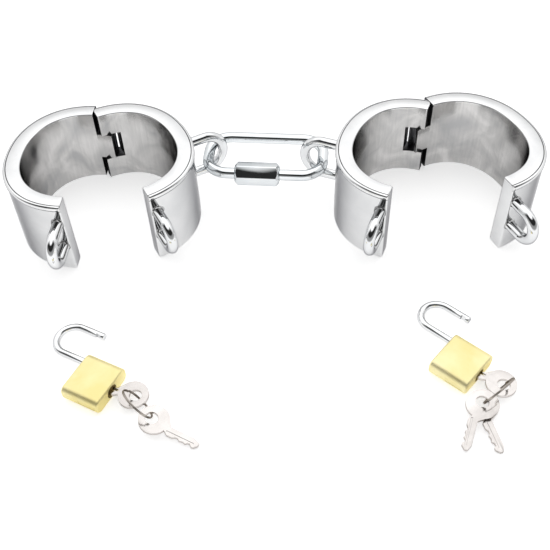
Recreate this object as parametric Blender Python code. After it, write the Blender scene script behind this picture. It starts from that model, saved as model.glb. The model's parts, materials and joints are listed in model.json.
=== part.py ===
"""A pair of hinged steel wrist cuffs, the quick link between them, and their two padlocks.

Millimetres are used for every size and turned into metres as each mesh is made.
The cuffs stand upright and open, and the opened padlocks lie in front of them.
"""
import math

import bmesh
import bpy
from mathutils import Matrix, Vector

MM = 0.001

# Layout on the floor: x, y in millimetres, angles in degrees
HINGE_AT = {"left": (-76.3, 77.28), "right": (66.9, 73.38)}
CUFF_YAW = {"left": 10.5, "right": -0.4}
CUFF_HALF_OPENING = {"left": 16.2, "right": 23.5}
LINK_AT = (-3.6, 62.63)
LINK_YAW = -6.5
PADLOCK_AT = {"left": (-71.4, -48.17), "right": (67.6, -45.67)}
PADLOCK_AXIS = {"left": 151.8, "right": 137.0}
RING_FAR_SIDE = {"left": (-48.6, -64.57), "right": (72.6, -63.17)}
SPARE_HEADINGS = {"left": (-25.7,), "right": (-75.7, -111.8)}

# Cuff shells
CUFF_HALF_WIDTH = 31.1
CUFF_HALF_DEPTH = 33.6
CUFF_SQUARENESS = 2.15
CUFF_WALL = 7.0
CUFF_HEIGHT = 36.0
CUFF_STATIONS = 22
RIM_BEAD = 0.45
RIM_BEAD_HEIGHT = 2.2
EDGE_ROUND = 0.6

# Cuff hinge
PIN_OFFSET = 4.0
PIN_INSET = 3.4
PIN_RADIUS = 1.5
PIN_BORE_RADIUS = 1.78
PIN_TOP = 31.0
KNUCKLE_GAP = 0.3
TONGUE_LENGTH = 6.9
TONGUE_BOTTOM = 11.6
TONGUE_TOP = 24.6
SLOT_LENGTH = 8.9
SLOT_GAP = 0.35

# Welded wire staples
WIRE_RADIUS = 2.25
LOOP_REACH = 16.0
LOOP_PITCH = 12.8
LOOP_HEIGHT = 20.2
LOOP_INSET = 2.6
EYE_REACH = 19.3
EYE_PITCH = 17.5
STAPLE_SINK_GAP = 0.12
STAPLE_SIDES = 10

# Quick link
LINK_LENGTH = 56.8
LINK_WIDTH = 30.0
LINK_WIRE_RADIUS = 2.45
LINK_BEND = 9.5
LINK_SIDES = 12
GATE_FROM = -11.6
GATE_TO = -4.8
NUT_LENGTH = 19.8
NUT_FLATS = 9.2
NUT_ROLL = 41.6
NUT_OFFSET = -2.7
NUT_BORE_RADIUS = 2.85
NUT_CHAMFER = 1.2
NUT_END_FACTOR = 0.84

# Padlock case
CASE_WIDTH = 19.2
CASE_LENGTH = 16.5
CASE_THICKNESS = 6.8
CASE_SIDE_ROUND = 2.6
CASE_END_ROUND = 0.8
CASE_CORNER_STEPS = 4
CASE_END_STEPS = 2
LEG_OFFSET = 6.65
LEG_BORE_RADIUS = 1.7
HEEL_BORE_FLOOR = 0.7
TOE_BORE_FLOOR = 10.2
CHAMBER_END = 7.8
STRIP_POCKET = ((7.6, -1.25, 1.2), (15.0, 1.25, 8.8))
STRIP = ((7.85, -1.0, 1.45), (9.5, 1.0, 8.55))
LATCH_POCKET_FROM = -4.3
LATCH_POCKET_HALF_WIDTH = 1.15
LATCH_POCKET_HALF_HEIGHT = 1.0

# Drive-in pins, each as its height and x, radius, end depth, and its hole's radius and end depth
PLUG_PIN = ((9.6, -2.45), 0.45, 2.4, 0.7, 2.7)
HEEL_PIN = ((9.4, -5.0), 0.38, 1.6, 0.62, 1.9)
DRIVE_PIN_SINK = 0.2

# Shackle, raised and swung round
SHACKLE_RADIUS = 1.4
SHACKLE_RISE = 19.0
HEEL_FOOT = 8.2
HEEL_NECK_FROM = 8.8
HEEL_NECK_TO = 15.45
HEEL_NECK_RADIUS = 1.05
HEEL_SHOULDER = 0.8
HEEL_HOLLOW_RADIUS = 0.72
HEEL_HOLLOW_TOP = 14.5
TOE_TIP_LIFT = 0.4
NOTCH_RISE = 1.5
NOTCH_HEIGHT = 2.0
NOTCH_REMAINS = 1.9
WASHER_FROM = 7.3
WASHER_TO = 7.9
WASHER_HOLE_RADIUS = 0.75

# Plug and pins
PLUG_RADIUS = 2.5
PLUG_BORE_RADIUS = 2.75
PLUG_FACE = 0.1
PLUG_TOP = 11.4
CHAMBER_SINK = 0.5
TAIL_BORE_OVERLAP = 0.3
PLUG_BORE_TOP = 11.6
KEYWAY_TOP = 11.05
KEYWAY_PLAY = 0.2
PIN_STACKS = (2.6, 5.0, 7.4)
CHAMBER_RADIUS = 0.85
LOCK_PIN_RADIUS = 0.55
SHEAR_GAP = 0.2
DRIVER_SINK = 0.1
DRIVER_LENGTH = 1.6
GROOVE_FROM = 9.0
GROOVE_TO = 10.2
GROOVE_RADIUS = 1.8
TAIL_ORBIT = 1.1
TAIL_RADIUS = 0.4
TAIL_PLAY = 0.25

# Latch
LATCH_HEIGHT = 13.9
LATCH_HALF_HEIGHT = 0.8
LATCH_HALF_WIDTH = 0.9
LATCH_BACK = -1.9
LATCH_TIP = 5.7
LATCH_BEVEL = 1.1
LATCH_BEVEL_DROP = 0.7
TAIL_POCKET_FROM = -0.72
TAIL_POCKET_TO = 0.65
TAIL_POCKET_DEPTH = 0.75

# Coil springs, each as coil radius, wire radius, length and turns
SHACKLE_SPRING = (0.38, 0.14, 7.6, 7)
LATCH_SPRING = (0.55, 0.14, 1.0, 3)
LATCH_SPRING_FROM = -4.15
DRIVER_SPRING_RADIUS = 0.42
DRIVER_SPRING_WIRE = 0.13
DRIVER_SPRING_TURNS = 4
DRIVER_SPRING_GAP = 0.15

# Keys
KEY_THICKNESS = 1.3
KEY_BOW_RADIUS = 5.8
KEY_BOW_OFFSET = -2.0
KEY_BOW_CENTRE = -8.2
KEY_BOW_GAP = 24.0
KEY_HOLE_CENTRE = -9.2
KEY_HOLE_RADIUS = 2.4
KEY_SHOULDER = -1.2
KEY_TIP = 10.8
KEY_TIP_BACK = -1.0
KEY_TIP_FRONT = 0.2
KEY_CUTS = (0.7, 0.35, 0.8)
KEY_CUT_HALF = 0.45
KEY_CUT_RAMP = 1.2
BLADE_BACK = -2.0
BLADE_FRONT = 1.5
BLADE_FRONT_FROM = 1.0
BLADE_FRONT_TO = 9.4
BLADE_BACK_TO = 8.6
KEY_GROOVE = (-1.4, -0.5)
KEY_GROOVE_DEPTH = 0.35
KEY_GROOVE_SPAN = (-2.0, 9.0)
RING_RADIUS = 7.0
RING_WIRE_RADIUS = 0.6
RING_TILT = {"left": 25.0, "right": -25.0}
RING_FAR_HEIGHT = 3.9
HOLE_PLAY = 0.5
SPARE_GAP = 1.5
SPARE_TIP_HEIGHT = 0.75


def clear_scene():
    for obj in list(bpy.data.objects):
        bpy.data.objects.remove(obj, do_unlink=True)


def metal(name, colour, roughness):
    material = bpy.data.materials.new(name)
    material.use_nodes = True
    shader = material.node_tree.nodes["Principled BSDF"]
    shader.inputs["Base Color"].default_value = (*colour, 1.0)
    shader.inputs["Metallic"].default_value = 1.0
    shader.inputs["Roughness"].default_value = roughness
    return material


def make_materials():
    return {
        "polished": metal("polished_stainless", (0.86, 0.87, 0.88), 0.08),
        "zinc": metal("plated_link", (0.84, 0.86, 0.87), 0.15),
        "brass": metal("satin_brass", (0.86, 0.74, 0.36), 0.35),
        "chrome": metal("chromed_shackle", (0.85, 0.85, 0.86), 0.08),
        "nickel": metal("nickel_key", (0.86, 0.83, 0.80), 0.3),
        "spring": metal("spring_steel", (0.55, 0.55, 0.56), 0.3),
    }


def empty(name, parent=None, location=(0, 0, 0), rotation=(0, 0, 0)):
    """A guide at a joint or on a part's frame: location in millimetres, rotation in degrees."""
    guide = bpy.data.objects.new(name, None)
    bpy.context.collection.objects.link(guide)
    guide.parent = parent
    guide.location = Vector(location) * MM
    guide.rotation_euler = [math.radians(angle) for angle in rotation]
    return guide


def finish_mesh(name, bm, material, parent, location=(0, 0, 0)):
    bmesh.ops.recalc_face_normals(bm, faces=bm.faces)
    bmesh.ops.scale(bm, vec=(MM, MM, MM), verts=bm.verts)
    mesh = bpy.data.meshes.new(name)
    bm.to_mesh(mesh)
    bm.free()
    mesh.shade_smooth()
    mesh.set_sharp_from_angle(angle=math.radians(35))
    obj = bpy.data.objects.new(name, mesh)
    bpy.context.collection.objects.link(obj)
    obj.parent = parent
    obj.location = Vector(location) * MM
    if material:
        mesh.materials.append(material)
    return obj


def cut(obj, cutters, operation="DIFFERENCE"):
    """Apply Booleans in the object's own frame, then remove the cutters."""
    for cutter in cutters:
        cutter.parent = obj.parent
        modifier = obj.modifiers.new("cut", "BOOLEAN")
        modifier.operation = operation
        modifier.solver = "EXACT"
        modifier.object = cutter
    bpy.context.view_layer.update()
    graph = bpy.context.evaluated_depsgraph_get()
    mesh = bpy.data.meshes.new_from_object(obj.evaluated_get(graph))
    obj.modifiers.clear()
    obj.data = mesh
    mesh.name = obj.name
    for cutter in cutters:
        bpy.data.objects.remove(cutter, do_unlink=True)
    return obj


def bridge_rings(bm, rings, closed=False):
    """Skin a row of equal point rings, with flat caps unless the row closes on itself."""
    rows = [[bm.verts.new(point) for point in ring] for ring in rings]
    count = len(rows[0])
    steps = len(rows) if closed else len(rows) - 1
    for i in range(steps):
        here, there = rows[i], rows[(i + 1) % len(rows)]
        for j in range(count):
            k = (j + 1) % count
            bm.faces.new((here[j], here[k], there[k], there[j]))
    if not closed:
        bm.faces.new(rows[0])
        bm.faces.new(list(reversed(rows[-1])))
    return rows


def prism(points, low, high, axis="z"):
    """A closed outline raised from low to high along one axis."""
    bm = bmesh.new()
    place = {
        "x": lambda u, v, w: (w, u, v),
        "y": lambda u, v, w: (v, w, u),
        "z": lambda u, v, w: (u, v, w),
    }[axis]
    bridge_rings(bm, [[place(u, v, low) for u, v in points], [place(u, v, high) for u, v in points]])
    return bm


def block(low, high):
    (x0, y0, z0), (x1, y1, z1) = low, high
    return prism([(x0, y0), (x1, y0), (x1, y1), (x0, y1)], z0, z1)


def circle(radius, sides, centre=(0.0, 0.0), phase=0.0):
    turn = 2 * math.pi / sides
    return [
        (centre[0] + radius * math.cos(turn * i + phase), centre[1] + radius * math.sin(turn * i + phase))
        for i in range(sides)
    ]


def round_bar(radius, low, high, axis="z", centre=(0.0, 0.0), sides=16):
    return prism(circle(radius, sides, centre), low, high, axis)


def stepped_bar(steps, sides=16, centre=(0.0, 0.0)):
    """A turned bar along z from (radius, height) pairs."""
    bm = bmesh.new()
    rings = [[(x, y, height) for x, y in circle(radius, sides, centre)] for radius, height in steps]
    bridge_rings(bm, rings)
    return bm


def tube(points, radius, sides, closed=False, up=Vector((0, 0, 1))):
    """A round wire along a flat path whose plane holds the given normal."""
    bm = bmesh.new()
    rings = []
    count = len(points)
    for i, point in enumerate(points):
        before = points[i - 1] if (closed or i > 0) else point
        after = points[(i + 1) % count] if (closed or i < count - 1) else point
        along = (Vector(after) - Vector(before)).normalized()
        side = along.cross(up).normalized()
        ring = []
        for j in range(sides):
            angle = 2 * math.pi * j / sides
            ring.append(Vector(point) + radius * (math.cos(angle) * side + math.sin(angle) * up))
        rings.append(ring)
    bridge_rings(bm, rings, closed)
    return bm


def coil(radius, wire, length, turns, sides=4, per_turn=8):
    """A compression spring along z, from z = 0."""
    bm = bmesh.new()
    rings = []
    steps = int(turns * per_turn)
    rise = length - 2 * wire
    for i in range(steps + 1):
        angle = 2 * math.pi * i / per_turn
        outward = Vector((math.cos(angle), math.sin(angle), 0))
        centre = radius * outward + Vector((0, 0, wire + rise * i / steps))
        ring = []
        for j in range(sides):
            around = 2 * math.pi * j / sides
            ring.append(centre + wire * (math.cos(around) * outward + Vector((0, 0, math.sin(around)))))
        rings.append(ring)
    bridge_rings(bm, rings)
    return bm


def oval_point(angle):
    """A point of the closed cuff's outer oval and its outward normal, from the back, clockwise."""
    power = 2.0 / CUFF_SQUARENESS
    sine, cosine = math.sin(angle), math.cos(angle)
    x = CUFF_HALF_WIDTH * math.copysign(abs(sine) ** power, sine)
    y = CUFF_HALF_DEPTH * math.copysign(abs(cosine) ** power, cosine)
    bend = CUFF_SQUARENESS - 1
    slope_x = math.copysign((abs(x) / CUFF_HALF_WIDTH) ** bend / CUFF_HALF_WIDTH, x)
    slope_y = math.copysign((abs(y) / CUFF_HALF_DEPTH) ** bend / CUFF_HALF_DEPTH, y)
    return Vector((x, y, 0)), Vector((slope_x, slope_y, 0)).normalized()


def rim_section():
    """The band's section as (distance in from the outer wall, height) pairs."""
    top, low, wall = CUFF_HEIGHT, EDGE_ROUND, CUFF_WALL
    return [
        (0.0, low),
        (0.0, top - RIM_BEAD_HEIGHT),
        (-RIM_BEAD, top - RIM_BEAD_HEIGHT + 0.4),
        (-RIM_BEAD, top - EDGE_ROUND),
        (EDGE_ROUND - RIM_BEAD, top),
        (wall - EDGE_ROUND, top),
        (wall, top - EDGE_ROUND),
        (wall, low),
        (wall - low, 0.0),
        (low, 0.0),
    ]


def band(first, last):
    """The band between two angles round the oval."""
    bm = bmesh.new()
    rings = []
    for i in range(CUFF_STATIONS + 1):
        angle = first + (last - first) * i / CUFF_STATIONS
        point, normal = oval_point(angle)
        rings.append([point - normal * inward + Vector((0, 0, height)) for inward, height in rim_section()])
    bridge_rings(bm, rings)
    return bm


def pin_centre(side):
    """The hinge pin in the closed cuff's frame; side is -1 where the tongued shell is on the left."""
    return Vector((-side * PIN_OFFSET, CUFF_HALF_DEPTH - PIN_INSET, 0))


def shift(bm, offset):
    bmesh.ops.translate(bm, vec=offset, verts=bm.verts)
    return bm


def flip_for(side, bm):
    """Mirror a shape made for a shell at +x when its shell is at -x."""
    if side < 0:
        bmesh.ops.scale(bm, vec=(-1, 1, 1), verts=bm.verts)
        bmesh.ops.reverse_faces(bm, faces=bm.faces)
    return bm


def cutter_at(bm, pin):
    return finish_mesh("cutter", shift(bm, -pin), None, None)


def make_tongued_shell(name, side, guide, material):
    """The outer shell: half the band, with a tongue past the joint plane at the back."""
    pin = pin_centre(side)
    reach = -math.asin((TONGUE_LENGTH / CUFF_HALF_WIDTH + 0.06) ** (CUFF_SQUARENESS / 2))
    shell = finish_mesh(name, shift(flip_for(side, band(reach, math.pi)), -pin), material, guide)
    far = -30.0
    pieces = [
        block((far, 0, TONGUE_TOP), (0, 60, 60)),
        block((far, 0, -10), (0, 60, TONGUE_BOTTOM)),
        block((far, 0, -10), (-TONGUE_LENGTH, 60, 60)),
    ]
    cutters = [cutter_at(flip_for(side, piece), pin) for piece in pieces]
    cutters.append(cutter_at(round_bar(PIN_BORE_RADIUS, -10, 60, centre=pin.xy), pin))
    return cut(shell, cutters)


def knuckle_relief():
    """The corner outside the knuckles, for a pin at the origin and a joint plane at -x."""
    radius = PIN_OFFSET - KNUCKLE_GAP
    arc = [math.radians(180 - 8 * i) for i in range(11)]
    points = [(-radius, -20.0)] + [(radius * math.cos(a), radius * math.sin(a)) for a in arc]
    points += [(points[-1][0], 20.0), (-20.0, 20.0), (-20.0, -20.0)]
    return prism(points, -10, 60)


def make_slotted_shell(name, side, guide, material):
    """The inner shell: half the band, with a slot for the tongue between two knuckles."""
    pin = pin_centre(-side)
    shell = finish_mesh(name, shift(flip_for(side, band(0.0, math.pi)), -pin), material, guide)
    slot = block((-10, 0, TONGUE_BOTTOM - SLOT_GAP), (SLOT_LENGTH, 60, TONGUE_TOP + SLOT_GAP))
    cutters = [
        cutter_at(flip_for(side, slot), pin),
        finish_mesh("cutter", flip_for(side, knuckle_relief()), None, None),
        cutter_at(round_bar(PIN_BORE_RADIUS, -10, PIN_TOP + 0.3, centre=pin.xy), pin),
    ]
    return cut(shell, cutters)


def staple_path(reach, pitch):
    """A U of wire in the x-z plane, feet at x = 0, centred on z = 0."""
    bend = pitch / 2
    straight = reach - WIRE_RADIUS - bend
    points = [(0.0, 0.0, bend), (straight * 0.5, 0.0, bend)]
    for i in range(11):
        angle = math.radians(90 - 18 * i)
        points.append((straight + bend * math.cos(angle), 0.0, bend * math.sin(angle)))
    points += [(straight * 0.5, 0.0, -bend), (0.0, 0.0, -bend)]
    return points


def place_staple(name, reach, pitch, foot, outward, height, guide, material):
    """Stand a staple on the wall at a foot point, pointing outward."""
    feet = [Vector(point) for point in staple_path(reach, pitch)]
    heading = math.atan2(outward.y, outward.x)
    start = Vector((STAPLE_SINK_GAP, 0, 0))
    bm = tube([point + start for point in feet], WIRE_RADIUS, STAPLE_SIDES, up=Vector((0, 1, 0)))
    bmesh.ops.rotate(bm, cent=(0, 0, 0), matrix=Matrix.Rotation(heading, 3, "Z"), verts=bm.verts)
    shift(bm, foot + Vector((0, 0, height)))
    return finish_mesh(name, bm, material, guide)


def wall_standoff(offset):
    """How far the wall curves back from its foremost point at a sideways offset."""
    angle = math.pi - math.asin((offset / CUFF_HALF_WIDTH) ** (CUFF_SQUARENESS / 2))
    point, _ = oval_point(angle)
    return CUFF_HALF_DEPTH + point.y


def make_lock_loop(name, side, pin, guide, material):
    """The staple beside an end face, pointing straight forward."""
    inner_edge = LOOP_INSET - WIRE_RADIUS
    foot_y = -CUFF_HALF_DEPTH + wall_standoff(inner_edge)
    foot = Vector((side * LOOP_INSET, foot_y - 0.12, 0)) - pin
    return place_staple(name, LOOP_REACH, LOOP_PITCH, foot, Vector((0, -1, 0)), LOOP_HEIGHT, guide, material)


def make_link_eye(name, side, pin, guide, material):
    """The staple at the middle of the inner shell."""
    foot = Vector((side * CUFF_HALF_WIDTH, 0, 0)) - pin
    middle = CUFF_HEIGHT / 2
    return place_staple(name, EYE_REACH, EYE_PITCH, foot, Vector((side, 0, 0)), middle, guide, material)


def make_cuff(word, materials):
    """One cuff, with its tongued shell on the outside of the pair."""
    side = -1 if word == "left" else 1
    x, y = HINGE_AT[word]
    yaw, opening = CUFF_YAW[word], CUFF_HALF_OPENING[word]
    outer_guide = empty(f"{word}_outer_joint", None, (x, y, 0), (0, 0, yaw + side * opening))
    inner_guide = empty(f"{word}_inner_frame", None, (x, y, 0), (0, 0, yaw - side * opening))
    steel = materials["polished"]
    pin = pin_centre(side)
    make_tongued_shell(f"{word}_outer_shell", side, outer_guide, steel)
    make_slotted_shell(f"{word}_inner_shell", -side, inner_guide, steel)
    pin_bar = round_bar(PIN_RADIUS, 0.2, PIN_TOP, sides=16)
    finish_mesh(f"{word}_hinge_pin", pin_bar, steel, inner_guide)
    make_lock_loop(f"{word}_outer_lock_loop", side, pin, outer_guide, steel)
    make_lock_loop(f"{word}_inner_lock_loop", -side, pin, inner_guide, steel)
    make_link_eye(f"{word}_link_eye", -side, pin, inner_guide, steel)


def link_path():
    """The bent bar's centre line, from one side of the gate round to the other."""
    side = LINK_WIDTH / 2 - LINK_WIRE_RADIUS
    end = LINK_LENGTH / 2 - LINK_WIRE_RADIUS
    points = [(GATE_TO, -side, 0.0), ((end - LINK_BEND) * 0.6, -side, 0.0)]
    for x_sign, y_sign, start in ((1, -1, -90), (1, 1, 0), (-1, 1, 90), (-1, -1, 180)):
        for i in range(7):
            angle = math.radians(start + 15 * i)
            x = x_sign * (end - LINK_BEND) + LINK_BEND * math.cos(angle)
            points.append((x, y_sign * (side - LINK_BEND) + LINK_BEND * math.sin(angle), 0.0))
    points.append((GATE_FROM, -side, 0.0))
    return points


def make_quick_link(materials):
    frame = empty("link_frame", None, (LINK_AT[0], LINK_AT[1], CUFF_HEIGHT / 2), (0, 0, LINK_YAW))
    bar = tube(link_path(), LINK_WIRE_RADIUS, LINK_SIDES)
    finish_mesh("quick_link", bar, materials["zinc"], frame)
    low, high = NUT_OFFSET - NUT_LENGTH / 2, NUT_OFFSET + NUT_LENGTH / 2
    nut_guide = empty("nut_joint", frame, (0, LINK_WIRE_RADIUS - LINK_WIDTH / 2, 0))
    across = NUT_FLATS / math.sqrt(3)
    corners = [math.radians(NUT_ROLL + 60 * i) for i in range(6)]
    ends = [(low, NUT_END_FACTOR), (low + NUT_CHAMFER, 1.0)]
    ends += [(high - NUT_CHAMFER, 1.0), (high, NUT_END_FACTOR)]
    rings = []
    for height, factor in ends:
        reach = across * factor
        rings.append([(height, reach * math.cos(a), reach * math.sin(a)) for a in corners])
    bm = bmesh.new()
    bridge_rings(bm, rings)
    nut = finish_mesh("quick_link_nut", bm, materials["zinc"], nut_guide)
    bore = round_bar(NUT_BORE_RADIUS, low - 5, high + 5, axis="x", sides=18)
    cut(nut, [finish_mesh("cutter", bore, None, None)])


def case_outline(inset):
    """The case's rounded section as (x, y) points, drawn in by an inset."""
    radius = CASE_SIDE_ROUND - inset
    centre_x = CASE_WIDTH / 2 - CASE_SIDE_ROUND
    centre_y = CASE_THICKNESS / 2 - CASE_SIDE_ROUND
    points = []
    for x_sign, y_sign, start in ((1, 1, 0), (-1, 1, 90), (-1, -1, 180), (1, -1, 270)):
        for i in range(CASE_CORNER_STEPS + 1):
            angle = math.radians(start + 90 * i / CASE_CORNER_STEPS)
            x = x_sign * centre_x + radius * math.cos(angle)
            points.append((x, y_sign * centre_y + radius * math.sin(angle)))
    return points


def rounded_case():
    """The case's outer block, its key face at z = 0, with well rounded sides and softer end edges."""
    steps = []
    for i in range(CASE_END_STEPS + 1):
        lean = math.radians(90 * i / CASE_END_STEPS)
        steps.append((CASE_END_ROUND * (1 - math.cos(lean)), CASE_END_ROUND * (1 - math.sin(lean))))
    rings = [[(x, y, z) for x, y in case_outline(inset)] for z, inset in steps]
    rings += [[(x, y, CASE_LENGTH - z) for x, y in case_outline(inset)] for z, inset in reversed(steps)]
    bm = bmesh.new()
    bridge_rings(bm, rings)
    bmesh.ops.recalc_face_normals(bm, faces=bm.faces)
    return bm


def case_cutters():
    yield round_bar(LEG_BORE_RADIUS, HEEL_BORE_FLOOR, 30, centre=(-LEG_OFFSET, 0))
    yield round_bar(LEG_BORE_RADIUS, TOE_BORE_FLOOR, 30, centre=(LEG_OFFSET, 0))
    yield round_bar(PLUG_BORE_RADIUS, -5, PLUG_BORE_TOP, sides=24)
    tail_sweep = TAIL_ORBIT + TAIL_RADIUS + TAIL_PLAY
    yield round_bar(tail_sweep, PLUG_BORE_TOP - TAIL_BORE_OVERLAP, LATCH_HEIGHT, sides=16)
    half_width, half_height = LATCH_POCKET_HALF_WIDTH, LATCH_POCKET_HALF_HEIGHT
    yield block(
        (LATCH_POCKET_FROM, -half_width, LATCH_HEIGHT - half_height),
        (LEG_OFFSET, half_width, LATCH_HEIGHT + half_height),
    )
    chamber_from = PLUG_RADIUS - CHAMBER_SINK
    for height in PIN_STACKS:
        yield round_bar(CHAMBER_RADIUS, chamber_from, CHAMBER_END, axis="x", centre=(0, height), sides=12)
    yield block(*STRIP_POCKET)
    for centre, _, _, hole_radius, hole_end in (PLUG_PIN, HEEL_PIN):
        yield round_bar(hole_radius, -CASE_THICKNESS, hole_end, axis="y", centre=centre, sides=12)


def make_case(word, frame, material):
    case = finish_mesh(f"{word}_padlock_case", rounded_case(), material, frame)
    return cut(case, [finish_mesh("cutter", bm, None, None) for bm in case_cutters()])


def shackle_path():
    """The bow of the shackle above the heel neck, heel leg on x = 0 and the free leg at -x."""
    bend = LEG_OFFSET
    spring_line = CASE_LENGTH + SHACKLE_RISE - SHACKLE_RADIUS - bend
    points = [(0.0, 0.0, HEEL_NECK_TO + HEEL_SHOULDER / 2), (0.0, 0.0, spring_line - 2.0)]
    for i in range(11):
        angle = math.radians(18 * i)
        points.append((-bend + bend * math.cos(angle), 0.0, spring_line + bend * math.sin(angle)))
    points += [(-2 * bend, 0.0, spring_line - 2.0), (-2 * bend, 0.0, CASE_LENGTH + TOE_TIP_LIFT)]
    return points


def make_shackle(word, frame, material):
    """The shackle, on a guide at the heel leg's axis."""
    guide = empty(f"{word}_shackle_joint", frame, (-LEG_OFFSET, 0, 0))
    bow = tube([Vector(p) for p in shackle_path()], SHACKLE_RADIUS, 12, up=Vector((0, 1, 0)))
    shackle = finish_mesh(f"{word}_shackle", bow, material, guide)
    foot = stepped_bar(
        (
            (SHACKLE_RADIUS, HEEL_FOOT),
            (SHACKLE_RADIUS, HEEL_NECK_FROM),
            (HEEL_NECK_RADIUS, HEEL_NECK_FROM),
            (HEEL_NECK_RADIUS, HEEL_NECK_TO),
            (SHACKLE_RADIUS, HEEL_NECK_TO),
            (SHACKLE_RADIUS, HEEL_NECK_TO + HEEL_SHOULDER),
        ),
        sides=12,
    )
    cut(shackle, [finish_mesh("cutter", foot, None, None)], "UNION")
    hollow = round_bar(HEEL_HOLLOW_RADIUS, HEEL_FOOT - 2, HEEL_HOLLOW_TOP, sides=10)
    notch_low = CASE_LENGTH + TOE_TIP_LIFT + NOTCH_RISE
    notch_back = NOTCH_REMAINS - 2 * LEG_OFFSET - SHACKLE_RADIUS
    notch = block((notch_back, -3, notch_low), (notch_back + 2, 3, notch_low + NOTCH_HEIGHT))
    cut(shackle, [finish_mesh("cutter", hollow, None, None), finish_mesh("cutter", notch, None, None)])
    return guide


def drive_pin(name, spec, frame, material):
    """A plain pin driven in through the padlock's back."""
    centre, radius, end, _, _ = spec
    bar = round_bar(radius, DRIVE_PIN_SINK - CASE_THICKNESS / 2, end, axis="y", centre=centre, sides=10)
    finish_mesh(name, bar, material, frame)


def make_heel_parts(word, frame, materials):
    washer = round_bar(SHACKLE_RADIUS, WASHER_FROM, WASHER_TO, centre=(-LEG_OFFSET, 0), sides=12)
    disc = finish_mesh(f"{word}_shackle_thrust_washer", washer, materials["spring"], frame)
    hole = round_bar(WASHER_HOLE_RADIUS, WASHER_FROM - 2, WASHER_TO + 2, centre=(-LEG_OFFSET, 0), sides=10)
    cut(disc, [finish_mesh("cutter", hole, None, None)])
    spring = shift(coil(*SHACKLE_SPRING), Vector((-LEG_OFFSET, 0, HEEL_BORE_FLOOR + 0.2)))
    finish_mesh(f"{word}_shackle_spring", spring, materials["spring"], frame)
    drive_pin(f"{word}_heel_retaining_pin", HEEL_PIN, frame, materials["spring"])


def make_plug(word, frame, material):
    guide = empty(f"{word}_plug_joint", frame)
    body = stepped_bar(
        (
            (PLUG_RADIUS, PLUG_FACE),
            (PLUG_RADIUS, GROOVE_FROM),
            (GROOVE_RADIUS, GROOVE_FROM),
            (GROOVE_RADIUS, GROOVE_TO),
            (PLUG_RADIUS, GROOVE_TO),
            (PLUG_RADIUS, PLUG_TOP),
        ),
        sides=20,
    )
    plug = finish_mesh(f"{word}_plug", body, material, guide)
    tail = round_bar(TAIL_RADIUS, PLUG_TOP - 0.2, LATCH_HEIGHT - 0.25, centre=(0, TAIL_ORBIT), sides=8)
    cut(plug, [finish_mesh("cutter", tail, None, None)], "UNION")
    half = KEY_THICKNESS / 2 + KEYWAY_PLAY
    keyway = block((BLADE_BACK - KEYWAY_PLAY, -half, -5), (BLADE_FRONT + KEYWAY_PLAY, half, KEYWAY_TOP))
    pieces = [keyway]
    for height in PIN_STACKS:
        pieces.append(round_bar(CHAMBER_RADIUS, BLADE_FRONT - 0.3, 5, axis="x", centre=(0, height), sides=12))
    cut(plug, [finish_mesh("cutter", piece, None, None) for piece in pieces])
    return guide


def sideways_spring(name, spec, start, height, frame, material):
    """A coil spring lying along the padlock's x axis."""
    spring = coil(*spec)
    bmesh.ops.rotate(spring, cent=(0, 0, 0), matrix=Matrix.Rotation(math.pi / 2, 3, "Y"), verts=spring.verts)
    shift(spring, Vector((start, 0, height)))
    finish_mesh(name, spring, material, frame)


def make_pin_stacks(word, frame, plug_guide, materials):
    """Per chamber: a key pin in the plug, a driver pin in the case and its spring, then the strip."""
    key_pin_foot = BLADE_FRONT + KEYWAY_PLAY
    driver_foot = PLUG_BORE_RADIUS + DRIVER_SINK
    driver_top = driver_foot + DRIVER_LENGTH
    spring_from = driver_top + DRIVER_SPRING_GAP
    spring_length = CHAMBER_END - 2 * DRIVER_SPRING_GAP - spring_from
    spring_spec = (DRIVER_SPRING_RADIUS, DRIVER_SPRING_WIRE, spring_length, DRIVER_SPRING_TURNS)
    for number, height in enumerate(PIN_STACKS, start=1):
        for kind, low, high, guide in (
            ("key", key_pin_foot, PLUG_RADIUS - SHEAR_GAP, plug_guide),
            ("driver", driver_foot, driver_top, frame),
        ):
            pin = round_bar(LOCK_PIN_RADIUS, low, high, axis="x", centre=(0, height), sides=10)
            finish_mesh(f"{word}_{kind}_pin_{number}", pin, materials["brass"], guide)
        name = f"{word}_driver_spring_{number}"
        sideways_spring(name, spring_spec, spring_from, height, frame, materials["spring"])
    finish_mesh(f"{word}_chamber_strip", block(*STRIP), materials["brass"], frame)
    drive_pin(f"{word}_plug_retaining_pin", PLUG_PIN, frame, materials["spring"])


def make_latch(word, frame, materials):
    """The bolt that catches the toe leg, on its own slide, with its spring behind it."""
    low, high = LATCH_HEIGHT - LATCH_HALF_HEIGHT, LATCH_HEIGHT + LATCH_HALF_HEIGHT
    pocket_top = low + TAIL_POCKET_DEPTH
    outline = [(LATCH_BACK, low), (LATCH_BACK, high), (LATCH_TIP - LATCH_BEVEL, high)]
    outline += [(LATCH_TIP, high - LATCH_BEVEL_DROP), (LATCH_TIP, low)]
    outline += [(TAIL_POCKET_TO, low), (TAIL_POCKET_TO, pocket_top)]
    outline += [(TAIL_POCKET_FROM, pocket_top), (TAIL_POCKET_FROM, low)]
    bm = prism([(z, x) for x, z in outline], -LATCH_HALF_WIDTH, LATCH_HALF_WIDTH, axis="y")
    finish_mesh(f"{word}_latch_bolt", bm, materials["spring"], frame)
    name = f"{word}_latch_spring"
    sideways_spring(name, LATCH_SPRING, LATCH_SPRING_FROM, LATCH_HEIGHT, frame, materials["spring"])


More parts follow.
